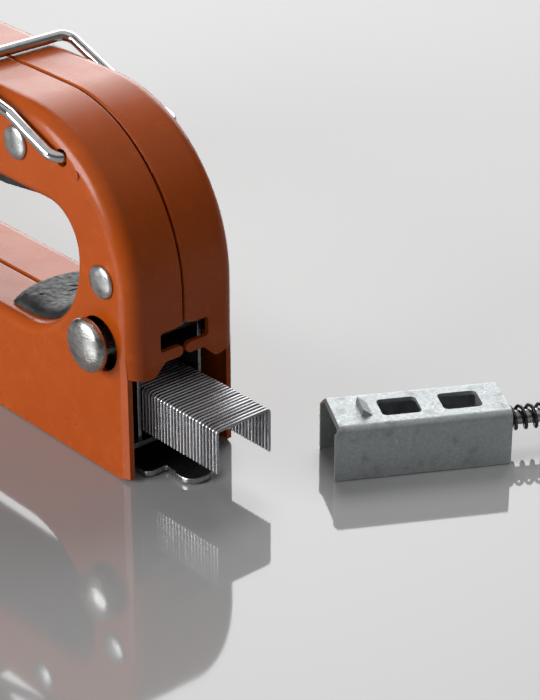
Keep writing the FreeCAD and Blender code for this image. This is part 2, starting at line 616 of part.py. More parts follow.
plunger = new_body("plunger")
web = new_sketch(plunger, "YZ_Plane", "web", "plunger_front")
outline(web, box_corners("-plunger_width / 2", "plunger_bottom", "plunger_width / 2", "plunger_top"))
pad(plunger, web, "plunger_wall")
foot = new_sketch(plunger, "XY_Plane", "foot", "plunger_bottom")
outline(foot, [
    ("plunger_front", "-foot_width / 2"), ("foot_back", "-foot_width / 2", "foot_width / 4"),
    ("foot_back", "foot_width / 2", "foot_width / 4"), ("plunger_front", "foot_width / 2"),
])
pad(plunger, foot, "foot_wall")
lug = new_sketch(plunger, "YZ_Plane", "lug", "-blade_wall / 2")
outline(lug, box_corners("-lug_width / 2", "lug_bottom", "lug_width / 2", "lug_top"))
pad(plunger, lug, "plunger_front + plunger_wall + blade_wall / 2")
for ear_name, sign in (("left_ear", "-"), ("right_ear", "")):
    ear = new_sketch(plunger, "YZ_Plane", ear_name, "plunger_front")
    outline(ear, box_corners(f"{sign}(plunger_width / 2 - ear_wall)", "ear_bottom",
                             f"{sign}plunger_width / 2", "plunger_top"))
    pad(plunger, ear, "ear_back - plunger_front")

bumper = new_body("bumper")
bumper_plan = new_sketch(bumper, "XY_Plane", "plan", "channel_top")
outline(bumper_plan, box_corners("bumper_front", "-bumper_width / 2", "bumper_back", "bumper_width / 2",
                                 "bumper_round"))
pad(bumper, bumper_plan, "bumper_top - channel_top")

spring_cap = new_body("spring_cap")
cap_half = new_sketch(spring_cap, "XZ_Plane", "half")
outline(cap_half, [
    ("0", "-cap_pilot_depth"), ("cap_pilot / 2", "-cap_pilot_depth"), ("cap_pilot / 2", "0"),
    ("cap_diameter / 2", "0"), ("cap_diameter / 2", "cap_wall"), ("0", "cap_wall"),
])
cap_turned = spring_cap.newObject("PartDesign::Revolution", "cap_turned")
cap_turned.Profile = cap_half
cap_turned.ReferenceAxis = (cap_half, ["V_Axis"])
cap_turned.Angle = 360
place_feature(spring_cap, "spring_axis", "0", "cap_bottom")
doc.recompute()


# Coil springs: one tube along tangent arcs

def arc_from_tangent(start, direction, end):
    chord = end - start
    along = Vector(chord).normalize()
    across = direction - along * direction.dot(along)
    if across.Length < touch ** 2:
        return Part.LineSegment(start, end)
    across.normalize()
    turn = direction.getAngle(chord)
    middle = start + chord * 0.5 + across * (chord.Length / 2 * math.tan(turn / 2))
    return Part.Arc(start, middle, end)


def biarc(start, start_way, end, end_way):
    chord = end - start
    both = start_way + end_way
    flatness = 2 * (1 - start_way.dot(end_way))
    along = chord.dot(both)
    reach = (-along + math.sqrt(along ** 2 + flatness * chord.dot(chord))) / flatness
    joint = (start + end + (start_way - end_way) * reach) * 0.5
    second = arc_from_tangent(end, end_way * -1, joint)
    return [arc_from_tangent(start, start_way, joint), second]


def coil(mean_radius, wire, pitch, turns, arcs_per_turn):
    # A round wire wound about +Z from z = 0, with a point and its direction at each step
    steps = round(turns * arcs_per_turn)
    rise = pitch / (2 * math.pi)

    def station(step):
        angle = 2 * math.pi * step / arcs_per_turn
        point = Vector(mean_radius * math.cos(angle), mean_radius * math.sin(angle), rise * angle)
        way = Vector(-mean_radius * math.sin(angle), mean_radius * math.cos(angle), rise).normalize()
        return point, way

    arcs = []
    for step in range(steps):
        start, start_way = station(step)
        end, end_way = station(step + 1)
        arcs += biarc(start, start_way, end, end_way)
    path = Part.Wire([arc.toShape() for arc in arcs])
    point, way = station(0)
    section = Part.Wire([Part.Circle(point, way, wire / 2).toShape()])
    tube = path.makePipeShell([section], True, False)
    expected = math.pi * (wire / 2) ** 2 * path.Length
    print(f"coil: {turns} turns, least gap {pitch - wire:.2f} mm, volume share {tube.Volume / expected:.4f}")
    return tube


main_span = size("cap_bottom - plunger_bottom - foot_wall - 2 * spring_end_gap - spring_wire")
main_spring = shape_feature("main_spring", coil(
    size("(spring_diameter - spring_wire) / 2"), size("spring_wire"), main_span / size("spring_turns"),
    size("spring_turns"), 4))
main_spring.Placement.Base = Vector(size("spring_axis"), 0,
                                    size("plunger_bottom + foot_wall + spring_end_gap + spring_wire / 2"))


# Lever, drawn in its closed position about the pivot and then swung open

lever = new_body("lever")
arm_tip_x = "-arm_reach * cos(open_angle / 2)"
arm_tip_z = "arm_reach * sin(open_angle / 2)"
lever_side = new_sketch(lever, "XZ_Plane", "side")
outline(lever_side, [
    (f"{arm_tip_x} - arm_half", f"{arm_tip_z} - arm_half", "arm_half * arm_round_share"),
    ("0", "-lever_hub", "lever_hub * hub_round_share"),
    ("2 * lever_hub", "-lever_skirt", "lever_hub"),
    ("lever_back", "-lever_skirt", "lever_skirt / 2"),
    ("lever_back", "lever_back_top - lever_wall"),
    ("lever_tongue_end", "lever_tongue_top - lever_wall"),
    ("lever_tongue_end", "lever_tongue_top"),
    ("lever_back", "lever_back_top"),
    ("lever_hump_place", "lever_hump"),
    ("lever_web_front", "lever_hump"),
    (f"{arm_tip_x} - arm_half", f"{arm_tip_z} + arm_half", "arm_half * arm_round_share"),
])
lever_blank = pad(lever, lever_side, "lever_width", both_ways=True)


def on_lever_top(edge):
    box = edge.BoundBox
    on_edge = same(abs(box.YMin), size("lever_width / 2")) and same(box.YMin, box.YMax)
    along_top = box.ZMin > size("lever_back_top") - slack and box.XMin > size("lever_web_front") - slack
    return on_edge and along_top and box.XLength > size("lever_wall")


fillet(lever, lever_blank, "lever_edge_round", on_lever_top)
inside = new_sketch(lever, "XZ_Plane", "inside")
outline(inside, [
    ("-arm_reach - 2 * arm_half", "-lever_hub - overrun"),
    ("lever_back + overrun", "-lever_hub - overrun"),
    ("lever_back", "lever_back_top - lever_wall"),
    ("lever_hump_place", "lever_hump - lever_wall"),
    ("lever_web_front", "lever_hump - lever_wall"),
    ("lever_web_front", "arm_reach"),
    ("-arm_reach - 2 * arm_half", "arm_reach"),
])
pocket(lever, inside, "lever_width - 2 * lever_wall", both_ways=True)
pivot_bore = new_sketch(lever, "XZ_Plane", "pivot_bore")
circle(pivot_bore, "0", "0", "pivot_hole")
pocket(lever, pivot_bore, "body_width", both_ways=True)
tongue_plan = new_sketch(lever, "XY_Plane", "tongue_plan")
outline(tongue_plan, [
    ("lever_back + overrun", "-lever_width / 2 - overrun"),
    ("lever_tongue_end + overrun", "-lever_width / 2 - overrun"),
    ("lever_tongue_end + overrun", "lever_width / 2 + overrun"),
    ("lever_back + overrun", "lever_width / 2 + overrun"), ("lever_back + overrun", "lever_width / 2"),
    ("lever_tongue_end", "lever_tongue_width / 2", "lever_tongue_round"),
    ("lever_tongue_end", "-lever_tongue_width / 2", "lever_tongue_round"),
    ("lever_back + overrun", "-lever_width / 2"),
])
pocket(lever, tongue_plan, "body_width", both_ways=True)
lever_swing = Rotation(Vector(0, 1, 0), -size("open_angle"))
lever.Placement.Rotation = lever_swing
place_feature(lever, "pivot_place", "0", "pivot_height")

studs = []
for name, start in (("left_stud", "lever_wall - lever_width / 2"),
                    ("right_stud", "stud_inner_half")):
    stud = doc.addObject("Part::Cylinder", name)
    stud.setExpression("Radius", term("stud_diameter / 2"))
    stud.setExpression("Height", term("lever_width / 2 - lever_wall - stud_inner_half"))
    stud.Placement.Rotation = Rotation(Vector(1, 0, 0), -90)
    place_feature(stud, arm_tip_x, start, arm_tip_z)
    studs.append(stud)
lift_studs = group("lift_studs", studs)
lift_studs.Placement.Rotation = lever_swing
place_feature(lift_studs, "pivot_place", "0", "pivot_height")


# Wire bail, parked forward along the top bar

def bent_wire(points, radius, wire):
    edges = []
    start = points[0]
    for index in range(1, len(points) - 1):
        arrive, middle, leave = corner_round(points[index - 1], points[index], points[index + 1], radius)
        edges.append(Part.LineSegment(start, arrive).toShape())
        edges.append(Part.Arc(arrive, middle, leave).toShape())
        start = leave
    edges.append(Part.LineSegment(start, points[-1]).toShape())
    path = Part.Wire(edges)
    section = Part.Wire([Part.Circle(points[0], points[1] - points[0], wire / 2).toShape()])
    return path.makePipeShell([section], True, False)


bail_x = size("bail_place")
bend_x = size("bail_place - bail_bend_reach")
bar_x = size("bail_place - bail_bar_reach")
bar_z = size("body_height + bail_rest_gap + bail_wire / 2")
left_half = [
    Vector(bail_x, size("bail_leg_depth - half_width"), size("bail_height")),
    Vector(bail_x, -size("bail_leg_half"), size("bail_height")),
    Vector(bend_x, -size("bail_leg_half"), size("body_height - bail_bend_drop")),
    Vector(bar_x, -size("bail_leg_half"), bar_z),
]
right_half = [Vector(point.x, -point.y, point.z) for point in reversed(left_half)]
lock_bail = shape_feature("lock_bail", bent_wire(
    left_half + right_half, size("bail_bend_round"), size("bail_wire")))


# Black pad in the heel of the finger opening, in two halves that meet over the seam

def build_insert(label, sign):
    insert = new_body(label)
    face = new_sketch(insert, "XZ_Plane", "face", f"{-sign} * insert_seam_gap / 2")
    front = "(grip_back - insert_reach)"
    head = "(grip_floor + grip_heel_round + insert_rise)"
    outline(face, [
        (front, "grip_floor"), ("grip_back", "grip_floor", "grip_heel_round"), ("grip_back", head),
        ("grip_back - insert_wall", head),
        ("grip_back - insert_wall", "grip_floor + insert_wall", "grip_heel_round - insert_wall"),
        (front, "grip_floor + insert_wall"),
    ])
    slab = pad(insert, face, "half_width - insert_inset - insert_seam_gap / 2", flip=sign > 0)
    inner = [size("grip_floor + insert_wall"), size("grip_back - insert_wall")]

    def on_rim(edge):
        box = edge.BoundBox
        outer = sign * size("half_width - insert_inset")
        along = box.XLength > size("insert_wall") or box.ZLength > size("insert_wall")
        inside = same(box.ZMin, inner[0]) or same(box.XMax, inner[1])
        return same(box.YMin, outer) and same(box.YMax, outer) and along and inside

    fillet(insert, slab, "insert_edge_round", on_rim)
    bow = new_sketch(insert, "XY_Plane", "bow", "grip_floor - overrun")
    outline(bow, [
        (f"{front} - overrun", "-half_width"), (f"{front} + insert_bow", "-half_width"),
        (front, "0", "insert_bow_round"), (f"{front} + insert_bow", "half_width"),
        (f"{front} - overrun", "half_width"),
    ])
    pocket(insert, bow, "2 * overrun + insert_wall", flip=True)
    return insert


left_heel_insert = build_insert("left_heel_insert", -1)
right_heel_insert = build_insert("right_heel_insert", 1)

grip_liner = new_body("grip_liner")
liner_side = new_sketch(grip_liner, "XZ_Plane", "side")
liner_front = "grip_front + liner_front_reach"
liner_end = "grip_back - liner_back_reach"
outline(liner_side, [
    (liner_front, "grip_top"), (f"{liner_front} + liner_taper", "grip_top - liner_wall", "liner_taper"),
    (f"{liner_end} - liner_taper", "grip_top - liner_wall", "liner_taper"), (liner_end, "grip_top"),
])
liner_strip = pad(grip_liner, liner_side, "2 * (half_width - liner_inset)", both_ways=True)
fillet(grip_liner, liner_strip, "liner_edge_round", lambda edge: same(
    edge.BoundBox.ZMax, size("grip_top - liner_wall")) and edge.BoundBox.XLength > size("liner_wall"))


# Glued strip of fine-wire staples, half way into the magazine

staple_strip = new_body("staple_strip")


def staple_section(name, inset):
    section = new_sketch(staple_strip, "YZ_Plane", name,
                         "body_length + strip_out - staple_pitch * staple_count")
    outer = f"(crown_width / 2 - {inset})"
    inner = "(crown_width / 2 - staple_wire)"
    bend = f"staple_bend_round - {inset}"
    outline(section, [
        (f"-{outer}", "leg_bottom"), (f"-{inner}", "leg_bottom"),
        (f"-{inner}", "crown_top - staple_wire", "staple_groove"),
        (inner, "crown_top - staple_wire", "staple_groove"), (inner, "leg_bottom"), (outer, "leg_bottom"),
        (outer, f"crown_top - {inset}", bend), (f"-{outer}", f"crown_top - {inset}", bend),
    ])
    return section


pad(staple_strip, staple_section("glued", "staple_groove"), "staple_pitch * staple_count")
one_staple = pad(staple_strip, staple_section("wire", "0"), "staple_pitch - staple_groove")
row_of_staples = staple_strip.newObject("PartDesign::LinearPattern", "row_of_staples")
row_of_staples.Originals = [one_staple]
row_of_staples.Direction = (one_staple.Profile[0], ["N_Axis"])
row_of_staples.setExpression("Length", term("staple_pitch * (staple_count - 1)"))
row_of_staples.setExpression("Occurrences", term("staple_count"))
staple_strip.Tip = row_of_staples
doc.recompute()


# Pusher, drawn along +X from its front end and then turned to where it lies

set_turn = Rotation(Vector(0, 0, 1), size("set_turn"))


def lay_down(feature):
    feature.Placement.Rotation = set_turn
    place_feature(feature, "body_length + set_back", "set_side", "0")
    doc.recompute()


pusher = new_body("pusher")
pusher_section = new_sketch(pusher, "YZ_Plane", "section")
outline(pusher_section, box_corners("-pusher_width / 2", "0", "pusher_width / 2", "pusher_height"))
pusher_blank = pad(pusher, pusher_section, "pusher_length")
pusher_rounded = fillet(pusher, pusher_blank, "pusher_edge_round", lambda edge: same(
    edge.BoundBox.ZMin, size("pusher_height")) and edge.BoundBox.XLength > size("pusher_wall"))
pusher_walls = pusher.newObject("PartDesign::Thickness", "pusher_walls")
pusher_walls.Base = (pusher_rounded, faces_where(pusher_rounded, lambda box: same(box.XMin, box.XMax)
                                                 or same(box.ZMax, 0)))
pusher_walls.setExpression("Value", term("pusher_wall"))
pusher_walls.Reversed = True
doc.recompute()
windows = new_sketch(pusher, "XY_Plane", "windows", "pusher_height - 2 * pusher_wall")
for start in ("pusher_window_one", "pusher_window_two"):
    outline(windows, box_corners(start, "-pusher_window_width / 2", f"{start} + pusher_window_length",
                                 "pusher_window_width / 2", "pusher_window_round"))
pocket(pusher, windows, "pusher_height", flip=True)
for name, start in (("front_tab", "pusher_window_one - pusher_wall"),
                    ("rear_tab", "pusher_window_two + pusher_window_length")):
    tab = new_sketch(pusher, "YZ_Plane", name, start)
    outline(tab, box_corners("-tab_width / 2", "tab_bottom", "tab_width / 2",
                             "pusher_height - pusher_wall / 2"))
    pad(pusher, tab, "pusher_wall")
nib = new_sketch(pusher, "XZ_Plane", "nib")
nib_place = "pusher_length * nib_place_share"
outline(nib, [
    (nib_place, "pusher_height - pusher_wall / 2"),
    (f"{nib_place} + pusher_nib_length", "pusher_height - pusher_wall / 2"),
    (f"{nib_place} + pusher_nib_length", "pusher_height + pusher_nib_height"),
])
pad(pusher, nib, "pusher_nib_width", both_ways=True)
rod_bore = new_sketch(pusher, "YZ_Plane", "rod_bore")
circle(rod_bore, "0", "rod_height", "rod_hole")
pocket(pusher, rod_bore, "pusher_length", flip=True)
lay_down(pusher)

# Guide rod with an upset head, riveted into the catch at the rear
rod_head_front = "(pusher_window_one - pusher_wall - coil_play - rod_head_length)"
rod_parts = []
rod_length = f"catch_place + catch_wall + rod_tail - {rod_head_front}"
for name, diameter, length in (("rod_stem", "rod_diameter", rod_length),
                               ("rod_upset", "rod_head", "rod_head_length")):
    cylinder = doc.addObject("Part::Cylinder", name)
    cylinder.setExpression("Radius", term(f"{diameter} / 2"))
    cylinder.setExpression("Height", term(length))
    cylinder.Placement.Rotation = Rotation(Vector(0, 1, 0), 90)
    place_feature(cylinder, rod_head_front, "0", "rod_height")
    rod_parts.append(cylinder)
guide_rod = doc.addObject("Part::Fuse", "guide_rod")
guide_rod.Base, guide_rod.Tool = rod_parts
lay_down(guide_rod)

rod_catch = new_body("rod_catch")
catch_face = new_sketch(rod_catch, "YZ_Plane", "face", "catch_place")
outline(catch_face, [
    ("-catch_width / 2", "0"), ("catch_width / 2", "0"),
    ("catch_width / 2", "catch_shoulder", "catch_round"),
    ("catch_neck_width / 2", "catch_shoulder", "catch_round"), ("catch_neck_width / 2", "catch_top"),
    ("-catch_neck_width / 2", "catch_top"), ("-catch_neck_width / 2", "catch_shoulder", "catch_round"),
    ("-catch_width / 2", "catch_shoulder", "catch_round"),
])
circle(catch_face, "0", "rod_height", "rod_hole")
pad(rod_catch, catch_face, "catch_wall")
hook = new_sketch(rod_catch, "XY_Plane", "hook", "catch_top - catch_wall")
outline(hook, box_corners("catch_place - catch_hook_length", "-catch_neck_width / 2",
                          "catch_place + catch_wall / 2", "catch_neck_width / 2"))
pad(rod_catch, hook, "catch_wall")
lip = new_sketch(rod_catch, "XY_Plane", "lip")
lip_end = "catch_place + catch_wall + catch_lip_length"
outline(lip, [
    ("catch_place + catch_wall / 2", "-catch_lip_width / 2"),
    (lip_end, "-catch_lip_width / 2", "catch_lip_round"), (lip_end, "catch_lip_width / 2", "catch_lip_round"),
    ("catch_place + catch_wall / 2", "catch_lip_width / 2"),
])
pad(rod_catch, lip, "catch_wall")
lay_down(rod_catch)

coil_front = "(pusher_window_two + pusher_window_length + pusher_wall)"
coil_span = size(f"catch_place - {coil_front} - 2 * coil_play - coil_wire")
coil_turns = round(coil_span / size("coil_pitch"))
pusher_spring = shape_feature("pusher_spring", coil(
    size("(coil_diameter - coil_wire) / 2"), size("coil_wire"), coil_span / coil_turns, coil_turns, 4))
along_rod = Rotation(Vector(0, 1, 0), 90)
coil_start = Vector(size(f"{coil_front} + coil_play + coil_wire / 2"), 0, size("rod_height"))
pusher_spring.Placement.Rotation = set_turn * along_rod
pusher_spring.Placement.Base = set_turn.multVec(coil_start) + Vector(
    size("body_length + set_back"), size("set_side"), 0)
doc.recompute()


# Every object must have been made before anything is written

pieces = [
    left_shell, right_shell, shell_rivets, rivet_sleeves, rear_pin, magazine_channel, magazine_floor,
    staple_rail, bottom_plate, nose_plate, blade_guide, driver_blade, plunger, bumper, spring_cap,
    main_spring, lever, lift_studs, lever_pivot_pin, pivot_washers, lock_bail, left_heel_insert, right_heel_insert,
    grip_liner, staple_strip, pusher, guide_rod, rod_catch, pusher_spring,
]
for item in doc.Objects:
    if "Invalid" in item.State or "Error" in item.State:
        raise RuntimeError(f"{item.Name} failed: {item.State}")
for piece in pieces:
    if piece.Shape.isNull() or not piece.Shape.isValid():
        raise RuntimeError(f"{piece.Label} has no valid shape")
for piece in pieces:
    piece.Shape.exportStep(f"parts/{piece.Label}.step")
    print(f"{piece.Label}: {len(piece.Shape.Solids)} solid, {piece.Shape.Volume:.1f} cubic mm")
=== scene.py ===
import math
import random

import bmesh
import bpy
from mathutils import Matrix, Vector, noise


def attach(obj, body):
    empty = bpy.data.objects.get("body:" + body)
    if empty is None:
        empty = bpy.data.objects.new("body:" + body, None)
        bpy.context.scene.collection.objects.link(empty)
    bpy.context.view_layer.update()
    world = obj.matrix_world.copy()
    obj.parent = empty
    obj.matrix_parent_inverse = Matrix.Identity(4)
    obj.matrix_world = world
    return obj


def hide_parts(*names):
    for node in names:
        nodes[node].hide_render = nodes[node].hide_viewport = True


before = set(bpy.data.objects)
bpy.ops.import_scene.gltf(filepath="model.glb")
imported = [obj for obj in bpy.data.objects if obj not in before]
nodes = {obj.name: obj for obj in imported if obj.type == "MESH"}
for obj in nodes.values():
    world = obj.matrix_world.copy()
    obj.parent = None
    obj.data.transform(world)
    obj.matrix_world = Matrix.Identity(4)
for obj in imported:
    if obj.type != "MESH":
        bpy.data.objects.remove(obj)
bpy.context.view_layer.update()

scene = bpy.context.scene
mm = 0.001
random.seed(53)


# ---- camera at the photograph's angle

cameraSet = {
    "place": (0.40541, -0.20801, 0.19240),
    "toward": (-0.66663, 0.58606, -0.46059),
    "lens": 120.6,
    "clip": (0.01, 20),
}
camera = bpy.data.objects.new("camera", bpy.data.cameras.new("camera"))
camera.data.lens = cameraSet["lens"]
camera.data.clip_start, camera.data.clip_end = cameraSet["clip"]
camera.location = cameraSet["place"]
camera.rotation_mode = "QUATERNION"
camera.rotation_quaternion = Vector(cameraSet["toward"]).to_track_quat("-Z", "Y")
scene.collection.objects.link(camera)
scene.camera = camera
print("camera set")


# ---- shader helpers

floatSocket, vectorSocket = "NodeSocketFloat", "NodeSocketVector"


def addNode(tree, kind, **settings):
    node = tree.nodes.new(kind)
    for name, value in settings.items():
        if name in node.inputs:
            node.inputs[name].default_value = value
        else:
            setattr(node, name, value)
    return node


def newGroup(name, inputs, output):
    # A group that reads a vector and puts out one value
    tree = bpy.data.node_groups.new(name, "ShaderNodeTree")
    for label, kind, value in [("Vector", vectorSocket, (0, 0, 0))] + inputs:
        tree.interface.new_socket(label, in_out="INPUT", socket_type=kind).default_value = value
    tree.interface.new_socket(output, in_out="OUTPUT", socket_type=floatSocket)
    given, result = tree.nodes.new("NodeGroupInput").outputs, tree.nodes.new("NodeGroupOutput").inputs
    return tree, tree.links.new, given, result


def makeSpeckle():
    # Soft-edged noise, 0 to 1, for colour drift, smudges and stains
    tree, link, given, result = newGroup(
        "speckle", [("Scale", floatSocket, 400.0), ("Detail", floatSocket, 3.0),
                    ("Low", floatSocket, 0.35), ("High", floatSocket, 0.65)], "Mask")
    cloud = addNode(tree, "ShaderNodeTexNoise")
    spread = addNode(tree, "ShaderNodeMapRange", interpolation_type="SMOOTHSTEP")
    for label in ("Vector", "Scale", "Detail"):
        link(given[label], cloud.inputs[label])
    link(cloud.outputs["Fac"], spread.inputs["Value"])
    link(given["Low"], spread.inputs["From Min"])
    link(given["High"], spread.inputs["From Max"])
    link(spread.outputs["Result"], result["Mask"])
    return tree


def makeBrushing():
    # Fine lines along one axis, from noise stretched by the given scale
    tree, link, given, result = newGroup(
        "brushing", [("Stretch", vectorSocket, (1.0, 1.0, 1.0)), ("Detail", floatSocket, 4.0)], "Lines")
    mapping = addNode(tree, "ShaderNodeMapping")
    lines = addNode(tree, "ShaderNodeTexNoise", Scale=1.0)
    link(given["Vector"], mapping.inputs["Vector"])
    link(given["Stretch"], mapping.inputs["Scale"])
    link(mapping.outputs["Vector"], lines.inputs["Vector"])
    link(given["Detail"], lines.inputs["Detail"])
    link(lines.outputs["Fac"], result["Lines"])
    return tree


def makeDents():
    # Round shallow pits, as on a peened or moulded surface
    tree, link, given, result = newGroup(
        "dents", [("Scale", floatSocket, 900.0), ("Softness", floatSocket, 0.6)], "Height")
    cells = addNode(tree, "ShaderNodeTexVoronoi", feature="SMOOTH_F1")
    link(given["Vector"], cells.inputs["Vector"])
    link(given["Scale"], cells.inputs["Scale"])
    link(given["Softness"], cells.inputs["Smoothness"])
    link(cells.outputs["Distance"], result["Height"])
    return tree


groups = {"speckle": makeSpeckle(), "brushing": makeBrushing(), "dents": makeDents()}


def startMaterial(name, look):
    material = bpy.data.materials.new(name)
    material.use_nodes = True
    tree = material.node_tree
    shader = tree.nodes["Principled BSDF"]
    for label, value in look.items():
        shader.inputs[label].default_value = value
    place = tree.nodes.new("ShaderNodeTexCoord").outputs["Object"]
    return material, tree, shader.inputs, place


def placeGroup(tree, name, vector, **values):
    node = tree.nodes.new("ShaderNodeGroup")
    node.node_tree = groups[name]
    for label, value in values.items():
        node.inputs[label].default_value = value
    tree.links.new(vector, node.inputs["Vector"])
    return node.outputs[0]


def placeNoise(tree, kind, vector, **values):
    node = addNode(tree, kind, **values)
    tree.links.new(vector, node.inputs["Vector"])
    return node.outputs


def blendColours(tree, factor, first, second):
    mix = addNode(tree, "ShaderNodeMix", data_type="RGBA")
    for index, value in ((6, first), (7, second)):
        if isinstance(value, tuple):
            mix.inputs[index].default_value = (*value, 1.0)
        else:
            tree.links.new(value, mix.inputs[index])
    tree.links.new(factor, mix.inputs[0])
    return mix.outputs[2]


def spreadValue(tree, value, toRange, fromRange=(0.3, 0.7)):
    # A value is spread over a range; most of a noise lies between 0.3 and 0.7
    spread = addNode(tree, "ShaderNodeMapRange")
    labels = ("From Min", "From Max", "To Min", "To Max")
    for label, number in zip(labels, (*fromRange, *toRange)):
        spread.inputs[label].default_value = number
    tree.links.new(value, spread.inputs["Value"])
    return spread.outputs["Result"]


def addBump(tree, shader, height, depth, strength, under=None):
    bump = addNode(tree, "ShaderNodeBump", Strength=strength, Distance=depth)
    tree.links.new(height, bump.inputs["Height"])
    if under is not None:
        tree.links.new(under, bump.inputs["Normal"])
    tree.links.new(bump.outputs["Normal"], shader["Normal"])
    return bump.outputs["Normal"]


# ---- materials

enamelSet = {
    "look": {"Coat Weight": 0.1, "Coat Roughness": 0.1, "Specular IOR Level": 0.3},
    "colour": (0.448, 0.0755, 0.0045), "deep": (0.396, 0.0620, 0.0035), "film": (0.49, 0.088, 0.008),
    "driftMask": {"Scale": 45.0, "Detail": 2.0, "Low": 0.3, "High": 0.75},
    "filmMask": {"Scale": 420.0, "Detail": 5.0, "Low": 0.5, "High": 0.85},
    "smudgeMask": {"Scale": 150.0, "Detail": 4.0, "Low": 0.3, "High": 0.8},
    "roughness": (0.23, 0.34), "peelScale": 700.0, "peelDepth": 0.010 * mm, "peelStrength": 0.5,
}


def makeEnamel():
    # Baked enamel with a faint orange peel, slow drift in tone and smudges
    material, tree, shader, place = startMaterial("orangeEnamel", enamelSet["look"])
    drift = placeGroup(tree, "speckle", place, **enamelSet["driftMask"])
    film = placeGroup(tree, "speckle", place, **enamelSet["filmMask"])
    smudge = placeGroup(tree, "speckle", place, **enamelSet["smudgeMask"])
    base = blendColours(tree, drift, enamelSet["colour"], enamelSet["deep"])
    tree.links.new(blendColours(tree, film, base, enamelSet["film"]), shader["Base Color"])
    tree.links.new(spreadValue(tree, smudge, enamelSet["roughness"], (0.0, 1.0)), shader["Roughness"])
    peel = placeNoise(tree, "ShaderNodeTexNoise", place, Scale=enamelSet["peelScale"], Detail=2.0)
    addBump(tree, shader, peel["Fac"], enamelSet["peelDepth"], enamelSet["peelStrength"])
    return material


metalSets = {
    "rivetSteel": {
        "colour": (0.62, 0.625, 0.62), "dark": (0.42, 0.43, 0.43), "roughness": (0.24, 0.42),
        "stretch": (900.0, 900.0, 900.0), "lineDepth": 0.02 * mm, "blotch": (500.0, 0.4, 0.7),
        "pits": (1400.0, 0.03 * mm)},
    "pinSteel": {
        "colour": (0.56, 0.56, 0.545), "dark": (0.34, 0.34, 0.33), "roughness": (0.2, 0.4),
        "stretch": (500.0, 1600.0, 2600.0), "lineDepth": 0.05 * mm, "blotch": (420.0, 0.4, 0.7),
        "pits": (800.0, 0.05 * mm)},
    # The magazine's sheet steel is painted dark: its colour is painted shade for the inside of the magazine
    "shadedSheetSteel": {
        "colour": (0.20, 0.205, 0.21), "dark": (0.12, 0.124, 0.128), "roughness": (0.24, 0.42),
        "stretch": (60.0, 1800.0, 1800.0)},
    "bladeSteel": {
        "colour": (0.5, 0.51, 0.52), "dark": (0.33, 0.34, 0.35), "roughness": (0.22, 0.38),
        "stretch": (1800.0, 1800.0, 60.0)},
    "springSteel": {
        "colour": (0.12, 0.115, 0.11), "dark": (0.05, 0.05, 0.05), "roughness": (0.18, 0.36),
        "stretch": (700.0, 700.0, 700.0), "blotch": (500.0, 0.35, 0.7)},
    "rodSteel": {
        "colour": (0.5, 0.51, 0.52), "dark": (0.3, 0.31, 0.32), "roughness": (0.18, 0.34),
        "stretch": (300.0, 300.0, 1500.0)},
    "polishedWire": {
        "colour": (0.76, 0.77, 0.78), "dark": (0.56, 0.57, 0.58), "roughness": (0.05, 0.16),
        "stretch": (500.0, 900.0, 900.0), "lineDepth": 0.012 * mm, "blotch": (500.0, 0.42, 0.75)},
    "blackPlate": {
        "colour": (0.016, 0.016, 0.018), "dark": (0.008, 0.008, 0.009), "roughness": (0.1, 0.24),
        "stretch": (400.0, 400.0, 400.0), "metallic": 0.0},
}


def makeMetal(name, colour, dark, roughness, stretch, lineDepth=0.01 * mm, blotch=(300.0, 0.35, 0.7),
              metallic=1.0, pits=None):
    # Bare, plated or blackened steel: brushed lines, a drift in tone and sometimes pits
    material, tree, shader, place = startMaterial(name, {"Metallic": metallic})
    lines = placeGroup(tree, "brushing", place, Stretch=stretch, Detail=4.0)
    tone = placeGroup(tree, "speckle", place, Scale=blotch[0], Detail=5.0, Low=blotch[1], High=blotch[2])
    tree.links.new(blendColours(tree, tone, colour, dark), shader["Base Color"])
    tree.links.new(spreadValue(tree, lines, roughness), shader["Roughness"])
    under = None
    if pits is not None:
        dent = placeGroup(tree, "dents", place, Scale=pits[0], Softness=0.7)
        under = addBump(tree, shader, dent, pits[1], 0.8)
    addBump(tree, shader, lines, lineDepth, 0.7, under)
    return material


zincSet = {
    "spangleScale": 1700.0, "spangleSpan": (0.1, 0.75),
    "bright": (0.47, 0.50, 0.507), "dull": (0.40, 0.425, 0.432),
    "stainMask": {"Scale": 330.0, "Detail": 7.0, "Low": 0.52, "High": 0.7}, "stain": (0.32, 0.338, 0.342),
    "fleckMask": {"Scale": 1500.0, "Detail": 3.0, "Low": 0.64, "High": 0.74}, "fleck": (0.58, 0.60, 0.60),
    "gritScale": 2600.0, "gritDepth": 0.03 * mm, "roughness": (0.42, 0.62), "pitScale": 1300.0,
    "pitDepth": 0.03 * mm, "metallic": 0.9,
}


def makeGalvanised():
    # Zinc spangle with stains, grit and small pits
    material, tree, shader, place = startMaterial("galvanisedSheet", {"Metallic": zincSet["metallic"]})
    spangle = placeNoise(tree, "ShaderNodeTexVoronoi", place, Scale=zincSet["spangleScale"])
    tone = spreadValue(tree, spangle["Distance"], (0.0, 1.0), zincSet["spangleSpan"])
    base = blendColours(tree, tone, zincSet["bright"], zincSet["dull"])
    for part in ("stain", "fleck"):
        mask = placeGroup(tree, "speckle", place, **zincSet[part + "Mask"])
        base = blendColours(tree, mask, base, zincSet[part])
    tree.links.new(base, shader["Base Color"])
    grit = placeNoise(tree, "ShaderNodeTexNoise", place, Scale=zincSet["gritScale"], Detail=5.0)["Fac"]
    tree.links.new(spreadValue(tree, grit, zincSet["roughness"]), shader["Roughness"])
    dent = placeGroup(tree, "dents", place, Scale=zincSet["pitScale"], Softness=0.5)
    under = addBump(tree, shader, dent, zincSet["pitDepth"], 0.7)
    addBump(tree, shader, grit, zincSet["gritDepth"], 0.8, under)
    return material


